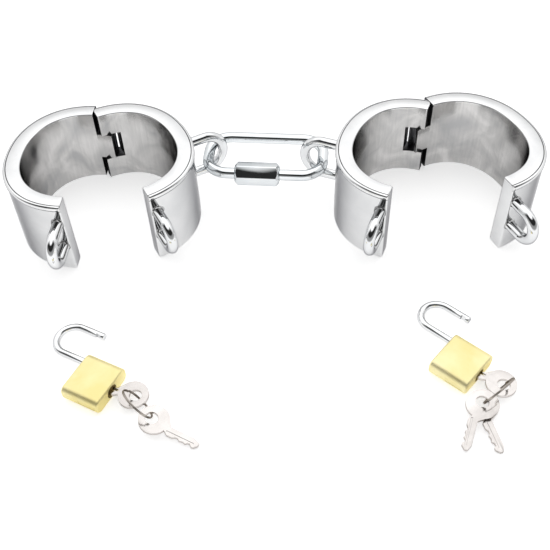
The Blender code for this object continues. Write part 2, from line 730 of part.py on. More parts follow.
def key_outline():
    """The key's flat outline as (x, z) points: bow, neck, then blade with its cuts on +x."""
    points = []
    steps = 20
    gap = math.radians(KEY_BOW_GAP)
    for i in range(steps + 1):
        angle = math.radians(90) + gap + (2 * math.pi - 2 * gap) * i / steps
        x = KEY_BOW_OFFSET + KEY_BOW_RADIUS * math.cos(angle)
        points.append((x, KEY_BOW_CENTRE + KEY_BOW_RADIUS * math.sin(angle)))
    points += [(BLADE_FRONT, KEY_SHOULDER), (BLADE_FRONT, BLADE_FRONT_FROM)]
    for height, depth in zip(PIN_STACKS, KEY_CUTS):
        points.append((BLADE_FRONT - depth, height - KEY_CUT_HALF))
        points.append((BLADE_FRONT - depth, height + KEY_CUT_HALF))
        points.append((BLADE_FRONT, height + KEY_CUT_RAMP))
    points += [(BLADE_FRONT, BLADE_FRONT_TO), (KEY_TIP_FRONT, KEY_TIP), (KEY_TIP_BACK, KEY_TIP)]
    points += [(BLADE_BACK, BLADE_BACK_TO), (BLADE_BACK, KEY_SHOULDER)]
    return points


def make_key(name, guide, material):
    """A key in the padlock's own frame: tip towards +z, cuts facing +x."""
    half = KEY_THICKNESS / 2
    bm = prism([(z, x) for x, z in key_outline()], -half, half, axis="y")
    key = finish_mesh(name, bm, material, guide)
    centre = (KEY_HOLE_CENTRE, KEY_BOW_OFFSET)
    hole = round_bar(KEY_HOLE_RADIUS, -5, 5, axis="y", centre=centre, sides=16)
    (back, front), (foot, top) = KEY_GROOVE, KEY_GROOVE_SPAN
    groove = block((back, half - KEY_GROOVE_DEPTH, foot), (front, half + 2, top))
    return cut(key, [finish_mesh("cutter", hole, None, None), finish_mesh("cutter", groove, None, None)])


def lying_matrix(word):
    """The padlock's frame on the floor: its z along the shackle, its y upward."""
    x, y = PADLOCK_AT[word]
    axis = math.radians(PADLOCK_AXIS[word])
    along = Vector((math.cos(axis), math.sin(axis), 0))
    origin = Vector((x, y, CASE_THICKNESS / 2)) - along * CASE_LENGTH / 2
    columns = (Vector((-along.y, along.x, 0)), Vector((0, 0, 1)), along)
    turn = Matrix((columns[0], columns[1], columns[2])).transposed()
    return Matrix.Translation(origin) @ turn.to_4x4()


def ring_near_side(word):
    """Where the ring goes through the inserted key's bow, pulled towards the spare keys."""
    hole = lying_matrix(word) @ Vector((KEY_BOW_OFFSET, 0, KEY_HOLE_CENTRE))
    pull = Vector((*RING_FAR_SIDE[word], hole.z)) - hole
    return hole + pull.normalized() * HOLE_PLAY


def ring_frame(word):
    """Centre and in-plane directions of the key ring, through both bow holes."""
    near = ring_near_side(word)
    far = Vector((*RING_FAR_SIDE[word], RING_FAR_HEIGHT))
    chord = (far - near).normalized()
    level = chord.cross(Vector((0, 0, 1))).normalized()
    upright = level.cross(chord)
    tilt = math.radians(RING_TILT[word])
    rise = upright * math.cos(tilt) + level * math.sin(tilt)
    half_chord = (far - near).length / 2
    centre = (near + far) / 2 + rise * math.sqrt(RING_RADIUS ** 2 - half_chord ** 2)
    return centre, chord, rise


def ring_crossing(word, height):
    """Where the ring's wire comes down through a level near its far side."""
    centre, chord, rise = ring_frame(word)
    best = None
    for i in range(721):
        angle = math.radians(-110 + i * 0.25)
        point = centre + RING_RADIUS * (math.cos(angle) * chord + math.sin(angle) * rise)
        miss = abs(point.z - height)
        if angle < 0 and (best is None or miss < best[0]):
            best = (miss, point)
    return best[1]


def make_key_ring(word, guide, material):
    centre, chord, rise = ring_frame(word)
    near = ring_near_side(word)
    points = []
    count = 28
    for i in range(count):
        angle = 2 * math.pi * i / count
        points.append(centre - near + RING_RADIUS * (math.cos(angle) * chord + math.sin(angle) * rise))
    bm = tube(points, RING_WIRE_RADIUS, 8, closed=True, up=chord.cross(rise).normalized())
    finish_mesh(f"{word}_key_ring", bm, material, guide)


def spare_heights(word):
    """The heights of the spare keys' bow holes, lowest first."""
    count = len(SPARE_HEADINGS[word])
    return [RING_FAR_HEIGHT + SPARE_GAP * (i - (count - 1) / 2) for i in range(count)]


def spare_plane(word):
    """The upward normal of the leaning plates: all the spare keys of a ring lie on one another."""
    headings = [math.radians(heading) for heading in SPARE_HEADINGS[word]]
    middle = sum(headings) / len(headings)
    reach = (KEY_TIP - KEY_HOLE_CENTRE) * math.cos(headings[0] - middle)
    dip = math.asin((spare_heights(word)[0] - SPARE_TIP_HEIGHT) / reach)
    return Vector((math.sin(dip) * math.cos(middle), math.sin(dip) * math.sin(middle), math.cos(dip)))


def spare_matrix(word, heading, height):
    """A spare key's frame: its bow hole on the ring, its tip low, its cuts to the right."""
    crossing = ring_crossing(word, height)
    near = ring_near_side(word)
    push = Vector((crossing.x - near.x, crossing.y - near.y, 0)).normalized()
    hole = crossing + push * HOLE_PLAY
    normal = spare_plane(word)
    flat = math.radians(heading)
    level = Vector((math.cos(flat), math.sin(flat), 0))
    along = (level - normal * level.dot(normal)).normalized()
    right = along.cross(normal)
    down = along.cross(right)
    turn = Matrix((right, down, along)).transposed().to_4x4()
    return Matrix.Translation(hole) @ turn


def place_world(guide, matrix):
    """Set an unparented guide's location and rotation from a matrix in millimetres."""
    guide.location = matrix.to_translation() * MM
    guide.rotation_euler = matrix.to_euler()


def make_spare_keys(word, material):
    for number, (heading, height) in enumerate(zip(SPARE_HEADINGS[word], spare_heights(word)), start=1):
        guide = empty(f"{word}_spare_joint_{number}")
        place_world(guide, spare_matrix(word, heading, height))
        frame = empty(f"{word}_spare_frame_{number}", guide, (-KEY_BOW_OFFSET, 0, -KEY_HOLE_CENTRE))
        make_key(f"{word}_spare_key_{number}", frame, material)


def make_padlock(word, materials):
    frame = empty(f"{word}_padlock_frame")
    place_world(frame, lying_matrix(word))
    make_case(word, frame, materials["brass"])
    make_shackle(word, frame, materials["chrome"])
    make_heel_parts(word, frame, materials)
    plug_guide = make_plug(word, frame, materials["brass"])
    make_pin_stacks(word, frame, plug_guide, materials)
    make_latch(word, frame, materials)
    key_guide = empty(f"{word}_key_joint", plug_guide)
    make_key(f"{word}_key", key_guide, materials["nickel"])
    ring_guide = empty(f"{word}_ring_joint")
    place_world(ring_guide, Matrix.Translation(ring_near_side(word)))
    make_key_ring(word, ring_guide, materials["nickel"])
    make_spare_keys(word, materials["nickel"])


def main():
    clear_scene()
    materials = make_materials()
    for word in ("left", "right"):
        make_cuff(word, materials)
    make_quick_link(materials)
    for word in ("left", "right"):
        make_padlock(word, materials)


main()
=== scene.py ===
"""Looks of the hinged wrist cuffs: fine meshes, metals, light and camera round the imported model.

Sizes are in millimetres in each sub-part's own frame and become metres as a mesh is placed.
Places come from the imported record's joints, and a key ring's from its CAD mesh, so every fine
piece sits on its CAD body.
"""
import json
import math

import bmesh
import bpy
from mathutils import Matrix, Vector, noise


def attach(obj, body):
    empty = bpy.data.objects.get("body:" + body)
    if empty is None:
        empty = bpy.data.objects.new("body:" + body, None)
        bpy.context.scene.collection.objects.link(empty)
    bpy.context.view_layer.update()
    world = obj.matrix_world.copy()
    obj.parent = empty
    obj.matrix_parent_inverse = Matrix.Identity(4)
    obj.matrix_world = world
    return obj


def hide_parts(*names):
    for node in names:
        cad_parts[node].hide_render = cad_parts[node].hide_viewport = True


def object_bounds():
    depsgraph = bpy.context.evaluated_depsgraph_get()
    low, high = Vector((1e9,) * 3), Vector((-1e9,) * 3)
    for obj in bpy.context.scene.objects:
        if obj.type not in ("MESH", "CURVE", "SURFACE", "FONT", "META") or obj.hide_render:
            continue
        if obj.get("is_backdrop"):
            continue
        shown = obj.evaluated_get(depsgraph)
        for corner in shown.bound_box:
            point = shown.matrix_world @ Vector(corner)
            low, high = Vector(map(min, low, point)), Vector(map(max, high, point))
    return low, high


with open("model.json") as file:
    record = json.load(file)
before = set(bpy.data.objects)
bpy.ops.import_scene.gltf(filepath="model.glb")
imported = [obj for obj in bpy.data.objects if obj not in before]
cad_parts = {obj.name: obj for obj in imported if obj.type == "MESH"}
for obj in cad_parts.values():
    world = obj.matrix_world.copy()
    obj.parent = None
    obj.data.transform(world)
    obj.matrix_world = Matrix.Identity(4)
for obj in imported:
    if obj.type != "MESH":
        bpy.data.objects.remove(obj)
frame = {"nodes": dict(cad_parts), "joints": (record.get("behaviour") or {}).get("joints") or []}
CAD_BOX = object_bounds()

MM = 0.001
JOINTS = {joint["name"]: joint for joint in frame["joints"]}

# How the cuffs stand: angles in degrees
CUFF_YAW = {"left": 10.5, "right": -0.4}
CUFF_HALF_OPENING = {"left": 16.2, "right": 23.5}

# Cuff shells
CUFF_HALF_WIDTH = 31.1
CUFF_HALF_DEPTH = 33.6
CUFF_SQUARENESS = 2.15
CUFF_WALL = 7.0
CUFF_HEIGHT = 36.0
CUFF_STATIONS = 88
RIM_BEAD = 0.38
RIM_BEAD_HEIGHT = 2.2
RIM_ROUND = 1.15
RIM_LINE_WIDTH = 0.42
RIM_LINE_DEPTH = 0.12
EDGE_ROUND = 0.6
MOUTH_ROUND = 0.55

# Cuff hinge
PIN_OFFSET = 4.0
PIN_INSET = 3.4
PIN_RADIUS = 1.5
PIN_BORE_RADIUS = 1.6
PIN_TOP = 31.0
KNUCKLE_GAP = 0.3
TONGUE_LENGTH = 6.9
TONGUE_BOTTOM = 11.6
TONGUE_TOP = 24.6
SLOT_LENGTH = 8.9
SLOT_GAP = 0.35

# Limits that tell the hinge's cut faces from the band's own
FLAT = 0.9
UPRIGHT = 0.1
NEAR = 0.05
SIDEWAYS = 0.4
TURNED_IN = -0.5
RIM_CLEAR = 0.1
RELIEF_SPARE = 0.3

# Reach of the hinge's cutters: back, on and across
CUT_BACK = -10.0
CUT_ON = 60.0
CUT_ACROSS = -30.0
TONGUE_SPARE = 0.06
PIN_END_PLAY = 0.3

# Welded wire staples
WIRE_RADIUS = 2.25
LOOP_REACH = 16.0
LOOP_PITCH = 12.8
LOOP_HEIGHT = 20.2
LOOP_INSET = 2.6
EYE_REACH = 19.3
EYE_PITCH = 17.5
WELD_RISE = 1.3
WELD_SPREAD = 0.85
WELD_OVERLAP = 0.05
WELD_SINK = 0.25
WELD_TO_MOUTH = 0.2
WELD_LUMP_SCALE = 1.6
WELD_RISE_LUMPS = 0.4
WELD_SPREAD_LUMPS = 0.55

# Quick link
LINK_LENGTH = 56.8
LINK_WIDTH = 30.0
LINK_WIRE_RADIUS = 2.45
LINK_BEND = 9.5
GATE_FROM = -11.6
GATE_TO = -4.8
THREAD_PITCH = 0.8
THREAD_DEPTH = 0.3
THREAD_LENGTH = 8.0
NUT_LENGTH = 19.8
NUT_FLATS = 9.2
NUT_ROLL = 41.6
NUT_OFFSET = -2.7
NUT_BORE_RADIUS = 2.85
NUT_CHAMFER = 1.6
NUT_FACE_INSET = 0.9
NUT_LIP_INSET = 0.35
NUT_LIP_LENGTH = 0.45
NUT_CORNER_SPARE = 0.3

# Padlock case
CASE_WIDTH = 19.2
CASE_LENGTH = 16.5
CASE_THICKNESS = 6.8
CASE_SIDE_ROUND = 2.6
CASE_END_ROUND = 0.8
CASE_CORNER_STEPS = 12
CASE_END_STEPS = 5
LEG_OFFSET = 6.65
LEG_BORE_RADIUS = 1.7
HEEL_BORE_FLOOR = 0.7
TOE_BORE_FLOOR = 10.2
CHAMBER_RADIUS = 0.85
CHAMBER_SINK = 0.5
CHAMBER_END = 7.8
STRIP_POCKET = ((7.6, -1.04, 1.41), (15, 1.04, 8.59))
STRIP = ((7.85, -1.0, 1.45), (9.5, 1.0, 8.55))
LATCH_POCKET_FROM = -4.3
LATCH_POCKET_HALF_WIDTH = 1.15
LATCH_POCKET_HALF_HEIGHT = 1.0
TAIL_PLAY = 0.25
TAIL_BORE_OVERLAP = 0.3

# Holes for the drive-in pins, each as its height and x, radius and end depth
PIN_HOLES = (((9.6, -2.45), 0.5, 2.7), ((9.4, -5.0), 0.42, 1.9))

# Shackle
SHACKLE_RADIUS = 1.4
SHACKLE_RISE = 19.0
HEEL_FOOT = 8.2
HEEL_NECK_FROM = 8.8
HEEL_NECK_TO = 15.45
HEEL_NECK_RADIUS = 1.05
HEEL_HOLLOW_RADIUS = 0.72
HEEL_HOLLOW_TOP = 14.5
TOE_TIP_LIFT = 0.4
NOTCH_RISE = 1.5
NOTCH_HEIGHT = 2.0
NOTCH_REMAINS = 1.9

# Plug
PLUG_RADIUS = 2.5
PLUG_BORE_RADIUS = 2.72
PLUG_TOP = 11.4
PLUG_BORE_TOP = 11.6
KEYWAY_TOP = 11.05
PIN_STACKS = (2.6, 5.0, 7.4)
GROOVE_FROM = 9.0
GROOVE_TO = 10.2
GROOVE_RADIUS = 1.8
TAIL_ORBIT = 1.1
TAIL_RADIUS = 0.4
LATCH_HEIGHT = 13.9

# Keys and rings
KEY_THICKNESS = 1.3
KEY_BOW_RADIUS = 5.8
KEY_BOW_OFFSET = -2.0
KEY_BOW_CENTRE = -8.2
KEY_HOLE_CENTRE = -9.2
KEY_HOLE_RADIUS = 2.4
KEY_TIP = 10.8
BLADE_BACK = -2.0
BLADE_FRONT = 1.5
BLADE_FRONT_FROM = 1.0
BLADE_FRONT_TO = 9.4
BLADE_BACK_TO = 8.6
KEY_BOW_GAP = 24.0
KEY_SHOULDER = -1.2
KEY_TIP_BACK = -1.0
KEY_TIP_FRONT = 0.2
KEY_CUTS = (0.7, 0.35, 0.8)
KEY_CUT_HALF = 0.45
KEY_CUT_RAMP = 1.2
KEY_GROOVE_FROM = -2.0
KEY_GROOVE_TO = 9.0
SPARE_HEADINGS = {"left": (-25.7,), "right": (-75.7, -111.8)}
RING_WIRE_RADIUS = 0.6
COIL_RADIUS = 0.29

# A key's milled grooves, each as its two edges and its depth
UPPER_GROOVE = (-1.4, -0.5, 0.35)
LOWER_GROOVE = (-0.1, 0.5, 0.3)

STEEL_SLOTS = {"polished": "polished_stainless", "fitting": "polished_steel_fittings"}


# ---------------------------------------------------------------- node helpers


def new_material(name):
    """An empty node material with its shader and a helper that adds linked nodes."""
    material = bpy.data.materials.new(name)
    material.use_nodes = True
    tree = material.node_tree
    shader = tree.nodes["Principled BSDF"]

    def add(kind, inputs=None, **settings):
        node = tree.nodes.new(kind)
        for key, value in settings.items():
            setattr(node, key, value)
        for key, value in (inputs or {}).items():
            if isinstance(value, bpy.types.NodeSocket):
                tree.links.new(value, node.inputs[key])
            else:
                node.inputs[key].default_value = value
        return node

    def wire(socket, key):
        tree.links.new(socket, shader.inputs[key])

    return material, shader, add, wire


def ramp(add, factor, stops):
    """A colour ramp from (position, (r, g, b)) stops."""
    node = add("ShaderNodeValToRGB", {"Fac": factor})
    elements = node.color_ramp.elements
    while len(elements) < len(stops):
        elements.new(0.5)
    for element, (position, colour) in zip(elements, stops):
        element.position = position
        element.color = (*colour, 1.0)
    return node.outputs["Color"]


def level(add, factor, low, high):
    """A noise factor stretched between two values."""
    node = add("ShaderNodeMapRange", {"Value": factor, "From Min": 0.3, "From Max": 0.7})
    node.inputs["To Min"].default_value = low
    node.inputs["To Max"].default_value = high
    return node.outputs["Result"]


def cloud(add, scale, detail=3.0, stretch=(1.0, 1.0, 1.0), distortion=0.0):
    """Soft noise in the piece's own coordinates; scale is in lumps per metre."""
    place = add("ShaderNodeTexCoord").outputs["Object"]
    mapping = add("ShaderNodeMapping", {"Vector": place})
    mapping.inputs["Scale"].default_value = stretch
    values = {"Vector": mapping.outputs["Vector"], "Scale": scale, "Detail": detail}
    node = add("ShaderNodeTexNoise", values)
    node.inputs["Distortion"].default_value = distortion
    return node.outputs["Fac"]


def relief(add, wire, height, distance, strength):
    bump = add("ShaderNodeBump", {"Height": height, "Distance": distance, "Strength": strength})
    wire(bump.outputs["Normal"], "Normal")


def metal(name, dark, light, rough, grain, edge_tint, bump=0.0, stretch=(1.0, 1.0, 1.0), metallic=1.0):
    """A metal whose colour and gloss drift a little, with an optional fine grain."""
    material, shader, add, wire = new_material(name)
    shader.inputs["Metallic"].default_value = metallic
    shader.inputs["Specular Tint"].default_value = (*edge_tint, 1.0)
    drift = cloud(add, 60.0, 4.0, distortion=0.4)
    wire(ramp(add, drift, ((0.32, dark), (0.68, light))), "Base Color")
    fine = cloud(add, grain, 5.0, stretch)
    wire(level(add, fine, *rough), "Roughness")
    if bump:
        relief(add, wire, fine, bump, 0.35)
    return material


# ---------------------------------------------------------------- materials


def polished_steel():
    """Mirror-polished stainless sheet: faint orange peel and hairline polishing marks."""
    return metal(
        "mirror_stainless", (0.70, 0.705, 0.71), (0.80, 0.802, 0.805), (0.04, 0.09), 420.0,
        (0.35, 0.35, 0.36), bump=0.00002, stretch=(1.0, 1.0, 0.25),
    )


def satin_steel():
    """The inner wall: finely linished steel with cloudy light and dark patches."""
    material, shader, add, wire = new_material("linished_stainless")
    shader.inputs["Metallic"].default_value = 1.0
    shader.inputs["Specular Tint"].default_value = (0.0, 0.0, 0.0, 1.0)
    patches = cloud(add, 70.0, 3.0, distortion=0.9)
    hair = cloud(add, 900.0, 6.0, (1.0, 1.0, 0.08))
    most = add("ShaderNodeMath", {0: patches, 1: 0.8}, operation="MULTIPLY")
    rest = add("ShaderNodeMath", {0: hair, 1: 0.2, 2: most.outputs["Value"]}, operation="MULTIPLY_ADD")
    tones = ((0.34, (0.40, 0.40, 0.405)), (0.5, (0.52, 0.515, 0.51)), (0.66, (0.66, 0.65, 0.645)))
    wire(ramp(add, rest.outputs["Value"], tones), "Base Color")
    wire(level(add, patches, 0.15, 0.22), "Roughness")
    relief(add, wire, hair, 0.00002, 0.4)
    return material


def painted_shade_steel():
    """Near-black metal that paints shade: the dark faces in the hinge gap and the dark lines at the rim."""
    return metal(
        "painted_shade_black", (0.06, 0.06, 0.065), (0.16, 0.16, 0.165), (0.35, 0.5), 900.0,
        (0.1, 0.1, 0.1), bump=0.00003,
    )


def chrome_wire():
    return metal(
        "polished_wire", (0.70, 0.71, 0.72), (0.80, 0.805, 0.81), (0.03, 0.08), 500.0, (0.3, 0.3, 0.31)
    )


def weld_metal():
    """Ground and polished weld: lumpier and a little darker than the wire."""
    return metal(
        "weld_bead", (0.22, 0.22, 0.225), (0.74, 0.74, 0.74), (0.08, 0.24), 700.0, (0.2, 0.2, 0.2),
        bump=0.0002,
    )


def plated_steel():
    return metal(
        "bright_plate", (0.72, 0.75, 0.77), (0.82, 0.84, 0.85), (0.04, 0.09), 380.0, (0.3, 0.31, 0.32)
    )


def satin_brass():
    """Satin brass: a fine grain with warmer and paler drifts."""
    return metal(
        "satin_brass", (0.86, 0.75, 0.34), (0.95, 0.88, 0.54), (0.36, 0.46), 1500.0, (0.9, 0.8, 0.5),
        bump=0.00003, stretch=(1.0, 1.0, 0.3), metallic=0.7,
    )


def plug_brass():
    return metal(
        "turned_brass", (0.16, 0.12, 0.07), (0.36, 0.28, 0.16), (0.25, 0.38), 1200.0, (0.4, 0.35, 0.2)
    )


def nickel_plate():
    return metal(
        "nickel_plate", (0.56, 0.53, 0.51), (0.76, 0.73, 0.71), (0.12, 0.22), 900.0, (0.45, 0.42, 0.4),
        bump=0.00003,
    )


def ring_wire():
    """The split ring: darker, slightly brown spring wire."""
    return metal(
        "tempered_wire", (0.30, 0.27, 0.24), (0.48, 0.44, 0.40), (0.12, 0.24), 900.0, (0.3, 0.28, 0.26)
    )


def spring_steel():
    return metal(
        "drawn_steel", (0.42, 0.42, 0.43), (0.60, 0.60, 0.61), (0.2, 0.35), 1500.0, (0.3, 0.3, 0.3)
    )


# ---------------------------------------------------------------- mesh helpers


def bridge_rings(bm, rings, slots=None):
    """Skin a row of equal point rings and close both ends; slots numbers each side of a ring."""
    rows = [[bm.verts.new(point) for point in ring] for ring in rings]
    count = len(rows[0])
    for here, there in zip(rows, rows[1:]):
        for j in range(count):
            k = (j + 1) % count
            face = bm.faces.new((here[j], here[k], there[k], there[j]))
            if slots:
                face.material_index = slots[j]
    bm.faces.new(rows[0])
    bm.faces.new(list(reversed(rows[-1])))


def prism(points, low, high, axis="z"):
    """A closed outline raised from low to high along one axis."""
    bm = bmesh.new()
    place = {
        "x": lambda u, v, w: (w, u, v),
        "y": lambda u, v, w: (v, w, u),
        "z": lambda u, v, w: (u, v, w),
    }[axis]
    bridge_rings(bm, [[place(u, v, low) for u, v in points], [place(u, v, high) for u, v in points]])
    bmesh.ops.recalc_face_normals(bm, faces=bm.faces)
    return bm


def block(low, high):
    (x0, y0, z0), (x1, y1, z1) = low, high
    return prism([(x0, y0), (x1, y0), (x1, y1), (x0, y1)], z0, z1)


def circle(radius, sides, centre=(0.0, 0.0)):
    turn = 2 * math.pi / sides
    return [
        (centre[0] + radius * math.cos(turn * i), centre[1] + radius * math.sin(turn * i))
        for i in range(sides)
    ]


def round_bar(radius, low, high, axis="z", centre=(0.0, 0.0), sides=48):
    return prism(circle(radius, sides, centre), low, high, axis)


def turned(steps, sides=48, axis="z"):
    """A turned bar from (radius, height) pairs along z or x."""
    bm = bmesh.new()
    rings = []
    for radius, height in steps:
        if axis == "z":
            rings.append([(x, y, height) for x, y in circle(radius, sides)])
        else:
            rings.append([(height, x, y) for x, y in circle(radius, sides)])
    bridge_rings(bm, rings)
    bmesh.ops.recalc_face_normals(bm, faces=bm.faces)
    return bm


def tube(points, radius, sides, up=Vector((0, 0, 1)), tip=0.0):
    """A round wire along a flat path; radius may be a list, and tip rounds both ends over."""
    bm = bmesh.new()
    rings = []
    last = len(points) - 1
    for i, point in enumerate(points):
        before, after = points[max(i - 1, 0)], points[min(i + 1, last)]
        along = (Vector(after) - Vector(before)).normalized()
        side = along.cross(up).normalized()
        size = radius[i] if isinstance(radius, list) else radius
        marks = [(0.0, size)]
        if tip and i in (0, last):
            steps = [math.radians(90 * k / 4) for k in range(5)]
            marks = [(tip * (math.sin(a) - 1), size - tip * (1 - math.cos(a))) for a in steps]
            if i == 0:
                marks = [(-back, width) for back, width in reversed(marks)]
        for back, width in marks:
            centre = Vector(point) + along * back
            ring = []
            for j in range(sides):
                angle = 2 * math.pi * j / sides
                ring.append(centre + width * (math.cos(angle) * side + math.sin(angle) * up))
            rings.append(ring)
    bridge_rings(bm, rings)
    bmesh.ops.recalc_face_normals(bm, faces=bm.faces)
    return bm


def shift(bm, offset):
    bmesh.ops.translate(bm, vec=offset, verts=bm.verts)
    return bm


def flip_for(side, bm):
    """Mirror a shape made for a shell at +x when its shell is at -x."""
    if side < 0:
        bmesh.ops.scale(bm, vec=(-1, 1, 1), verts=bm.verts)
        bmesh.ops.reverse_faces(bm, faces=bm.faces)
    return bm


def raw_object(name, bm):
    mesh = bpy.data.meshes.new(name)
    bm.to_mesh(mesh)
    bm.free()
    obj = bpy.data.objects.new(name, mesh)
    bpy.context.collection.objects.link(obj)
    return obj


def baked(obj):
    """Apply an object's modifiers and return it."""
    graph = bpy.context.evaluated_depsgraph_get()
    mesh = bpy.data.meshes.new_from_object(obj.evaluated_get(graph))
    obj.modifiers.clear()
    obj.data = mesh
    return obj


def cut(obj, cutters, operation="DIFFERENCE"):
    """Apply exact Booleans in millimetres, then remove the cutters."""
    made = [raw_object("cutter", cutter) for cutter in cutters]
    for cutter in made:
        modifier = obj.modifiers.new("cut", "BOOLEAN")
        modifier.operation = operation
        modifier.solver = "EXACT"
        modifier.object = cutter
    bpy.context.view_layer.update()
    baked(obj)
    for cutter in made:
        bpy.data.objects.remove(cutter, do_unlink=True)
    return obj


def soften(obj, width, segments=2, angle=40.0):
    """Round every sharp edge by a small radius, in millimetres."""
    bevel = obj.modifiers.new("soften", "BEVEL")
    bevel.width = width
    bevel.segments = segments
    bevel.limit_method = "ANGLE"
    bevel.angle_limit = math.radians(angle)
    bevel.use_clamp_overlap = True
    bevel.miter_outer = "MITER_ARC"
    bpy.context.view_layer.update()
    return baked(obj)


def settle(obj, name, place, materials, body, slot, nodes=(), sharp=38.0):
    """Move a piece from its own millimetre frame to its CAD place and let it ride there."""
    obj.name = name
    mesh = obj.data
    mesh.name = name
    mesh.transform(Matrix.Scale(MM, 4) @ place)
    indices = [polygon.material_index for polygon in mesh.polygons]
    mesh.materials.clear()
    for material in materials:
        mesh.materials.append(material)
    if len(materials) > 1:
        mesh.polygons.foreach_set("material_index", indices)
    mesh.shade_smooth()
    mesh.set_sharp_from_angle(angle=math.radians(sharp))
    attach(obj, body)
    if nodes:
        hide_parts(*nodes)
    return obj


# ---------------------------------------------------------------- cuffs


def oval_point(angle):
    """A point of the closed cuff's outer oval and its outward normal, from the back, clockwise."""
    power = 2.0 / CUFF_SQUARENESS
    sine, cosine = math.sin(angle), math.cos(angle)
    x = CUFF_HALF_WIDTH * math.copysign(abs(sine) ** power, sine)
    y = CUFF_HALF_DEPTH * math.copysign(abs(cosine) ** power, cosine)
    bend = CUFF_SQUARENESS - 1
    slope_x = math.copysign((abs(x) / CUFF_HALF_WIDTH) ** bend / CUFF_HALF_WIDTH, x)
    slope_y = math.copysign((abs(y) / CUFF_HALF_DEPTH) ** bend / CUFF_HALF_DEPTH, y)
    return Vector((x, y, 0)), Vector((slope_x, slope_y, 0)).normalized()


def corner(centre, radius, start, end, steps):
    """Points of a round corner in a band section, angles in degrees."""
    turns = [math.radians(start + (end - start) * i / steps) for i in range(steps + 1)]
    return [(centre[0] + radius * math.cos(a), centre[1] + radius * math.sin(a)) for a in turns]


def rim_section():
    """The band's fine section as (distance in, height) pairs, and a slot number for each side."""
    top, low, wall, bead = CUFF_HEIGHT, EDGE_ROUND, CUFF_WALL, RIM_BEAD
    shoulder = top - RIM_BEAD_HEIGHT
    outside = corner((low, low), low, 270, 180, 4)
    under = len(outside)
    outside += [(0.0, shoulder - 0.25), (-0.06, shoulder)]
    outside += [(-bead * 0.7, shoulder + 0.2), (-bead, shoulder + 0.5)]
    outside += corner((RIM_ROUND - bead, top - RIM_ROUND), RIM_ROUND, 180, 90, 7)
    line, start = len(outside), RIM_ROUND - bead
    floor = top - RIM_LINE_DEPTH
    outside += [(start + 0.08, floor), (start + RIM_LINE_WIDTH - 0.08, floor), (start + RIM_LINE_WIDTH, top)]
    outside += corner((wall - low, top - low), low, 90, 0, 4)
    inside = corner((wall - low, low), low, 0, -90, 4)
    points = outside + inside
    slots = [0] * len(points)
    slots[len(outside) - 1] = 1
    # Slot 2 paints shade: dark lines at the step under the bead and in the rim line, standing in for the dark
    # reflections beside the rim's highlight.
    for side in (under, under + 1, line - 1, line, line + 1):
        slots[side] = 2
    return points, slots


def band(first):
    """The band from an angle round the oval to the mouth, with its mouth end rounded over."""
    bm = bmesh.new()
    section, slots = rim_section()
    middle = (CUFF_WALL / 2, CUFF_HEIGHT / 2)
    last = math.pi
    round_turn = MOUTH_ROUND / CUFF_HALF_WIDTH
    rings = []

    def ring_at(angle, inset):
        point, normal = oval_point(angle)
        ring = []
        for inward, height in section:
            across = middle[0] + (inward - middle[0]) * (1 - inset / middle[0])
            up = middle[1] + (height - middle[1]) * (1 - inset / middle[1])
            ring.append(point - normal * across + Vector((0, 0, up)))
        return ring

    for i in range(CUFF_STATIONS + 1):
        rings.append(ring_at(first + (last - round_turn - first) * i / CUFF_STATIONS, 0.0))
    for i in range(1, 5):
        lean = math.radians(90 * i / 4)
        angle = last - round_turn * (1 - math.sin(lean))
        rings.append(ring_at(angle, MOUTH_ROUND * (1 - math.cos(lean))))
    bridge_rings(bm, rings, slots)
    bmesh.ops.recalc_face_normals(bm, faces=bm.faces)
    return bm


def pin_centre(side):
    return Vector((-side * PIN_OFFSET, CUFF_HALF_DEPTH - PIN_INSET, 0))


def cuff_place(word, which):
    """The world place of a shell whose frame has its hinge pin at the origin."""
    side = -1 if word == "left" else 1
    turn = CUFF_YAW[word] + (side if which == "outer" else -side) * CUFF_HALF_OPENING[word]
    hinge = Vector(JOINTS[f"{word}_cuff_hinge"]["pos_m"]) / MM
    return Matrix.Translation(hinge) @ Matrix.Rotation(math.radians(turn), 4, "Z")


def level_cut(centre, normal):
    """Whether a face is level and lies between the band's bottom edge and its rim."""
    low, high = EDGE_ROUND + RIM_CLEAR, CUFF_HEIGHT - RIM_BEAD_HEIGHT
    return abs(normal.z) > FLAT and low < centre.z < high


def paint_gap_shade(shell, in_gap_shade):
    """Paint shade in the hinge gap: put the near-black metal on every face whose centre and normal pass the
    test.
    """
    for polygon in shell.data.polygons:
        if in_gap_shade(polygon.center, polygon.normal):
            polygon.material_index = 2
    return shell


def tongued_shell(side):
    """The outer shell, with a tongue past the joint plane at the back."""
    pin = pin_centre(side)
    reach = -math.asin((TONGUE_LENGTH / CUFF_HALF_WIDTH + TONGUE_SPARE) ** (CUFF_SQUARENESS / 2))
    shell = raw_object("shell", shift(flip_for(side, band(reach)), -pin))
    pieces = [
        block((CUT_ACROSS, 0, TONGUE_TOP), (0, CUT_ON, CUT_ON)),
        block((CUT_ACROSS, 0, CUT_BACK), (0, CUT_ON, TONGUE_BOTTOM)),
        block((CUT_ACROSS, 0, CUT_BACK), (-TONGUE_LENGTH, CUT_ON, CUT_ON)),
    ]
    cutters = [shift(flip_for(side, piece), -pin) for piece in pieces]
    cutters.append(round_bar(PIN_BORE_RADIUS, CUT_BACK, CUT_ON))

    # Painted gap shade: the level cut faces and the tongue's joint-plane end face go near-black.
    def in_gap_shade(centre, normal):
        end_cut = abs(normal.x) > FLAT and abs(centre.x + pin.x) < NEAR
        return centre.y > -SLOT_LENGTH and (level_cut(centre, normal) or end_cut)

    return paint_gap_shade(cut(shell, cutters), in_gap_shade)


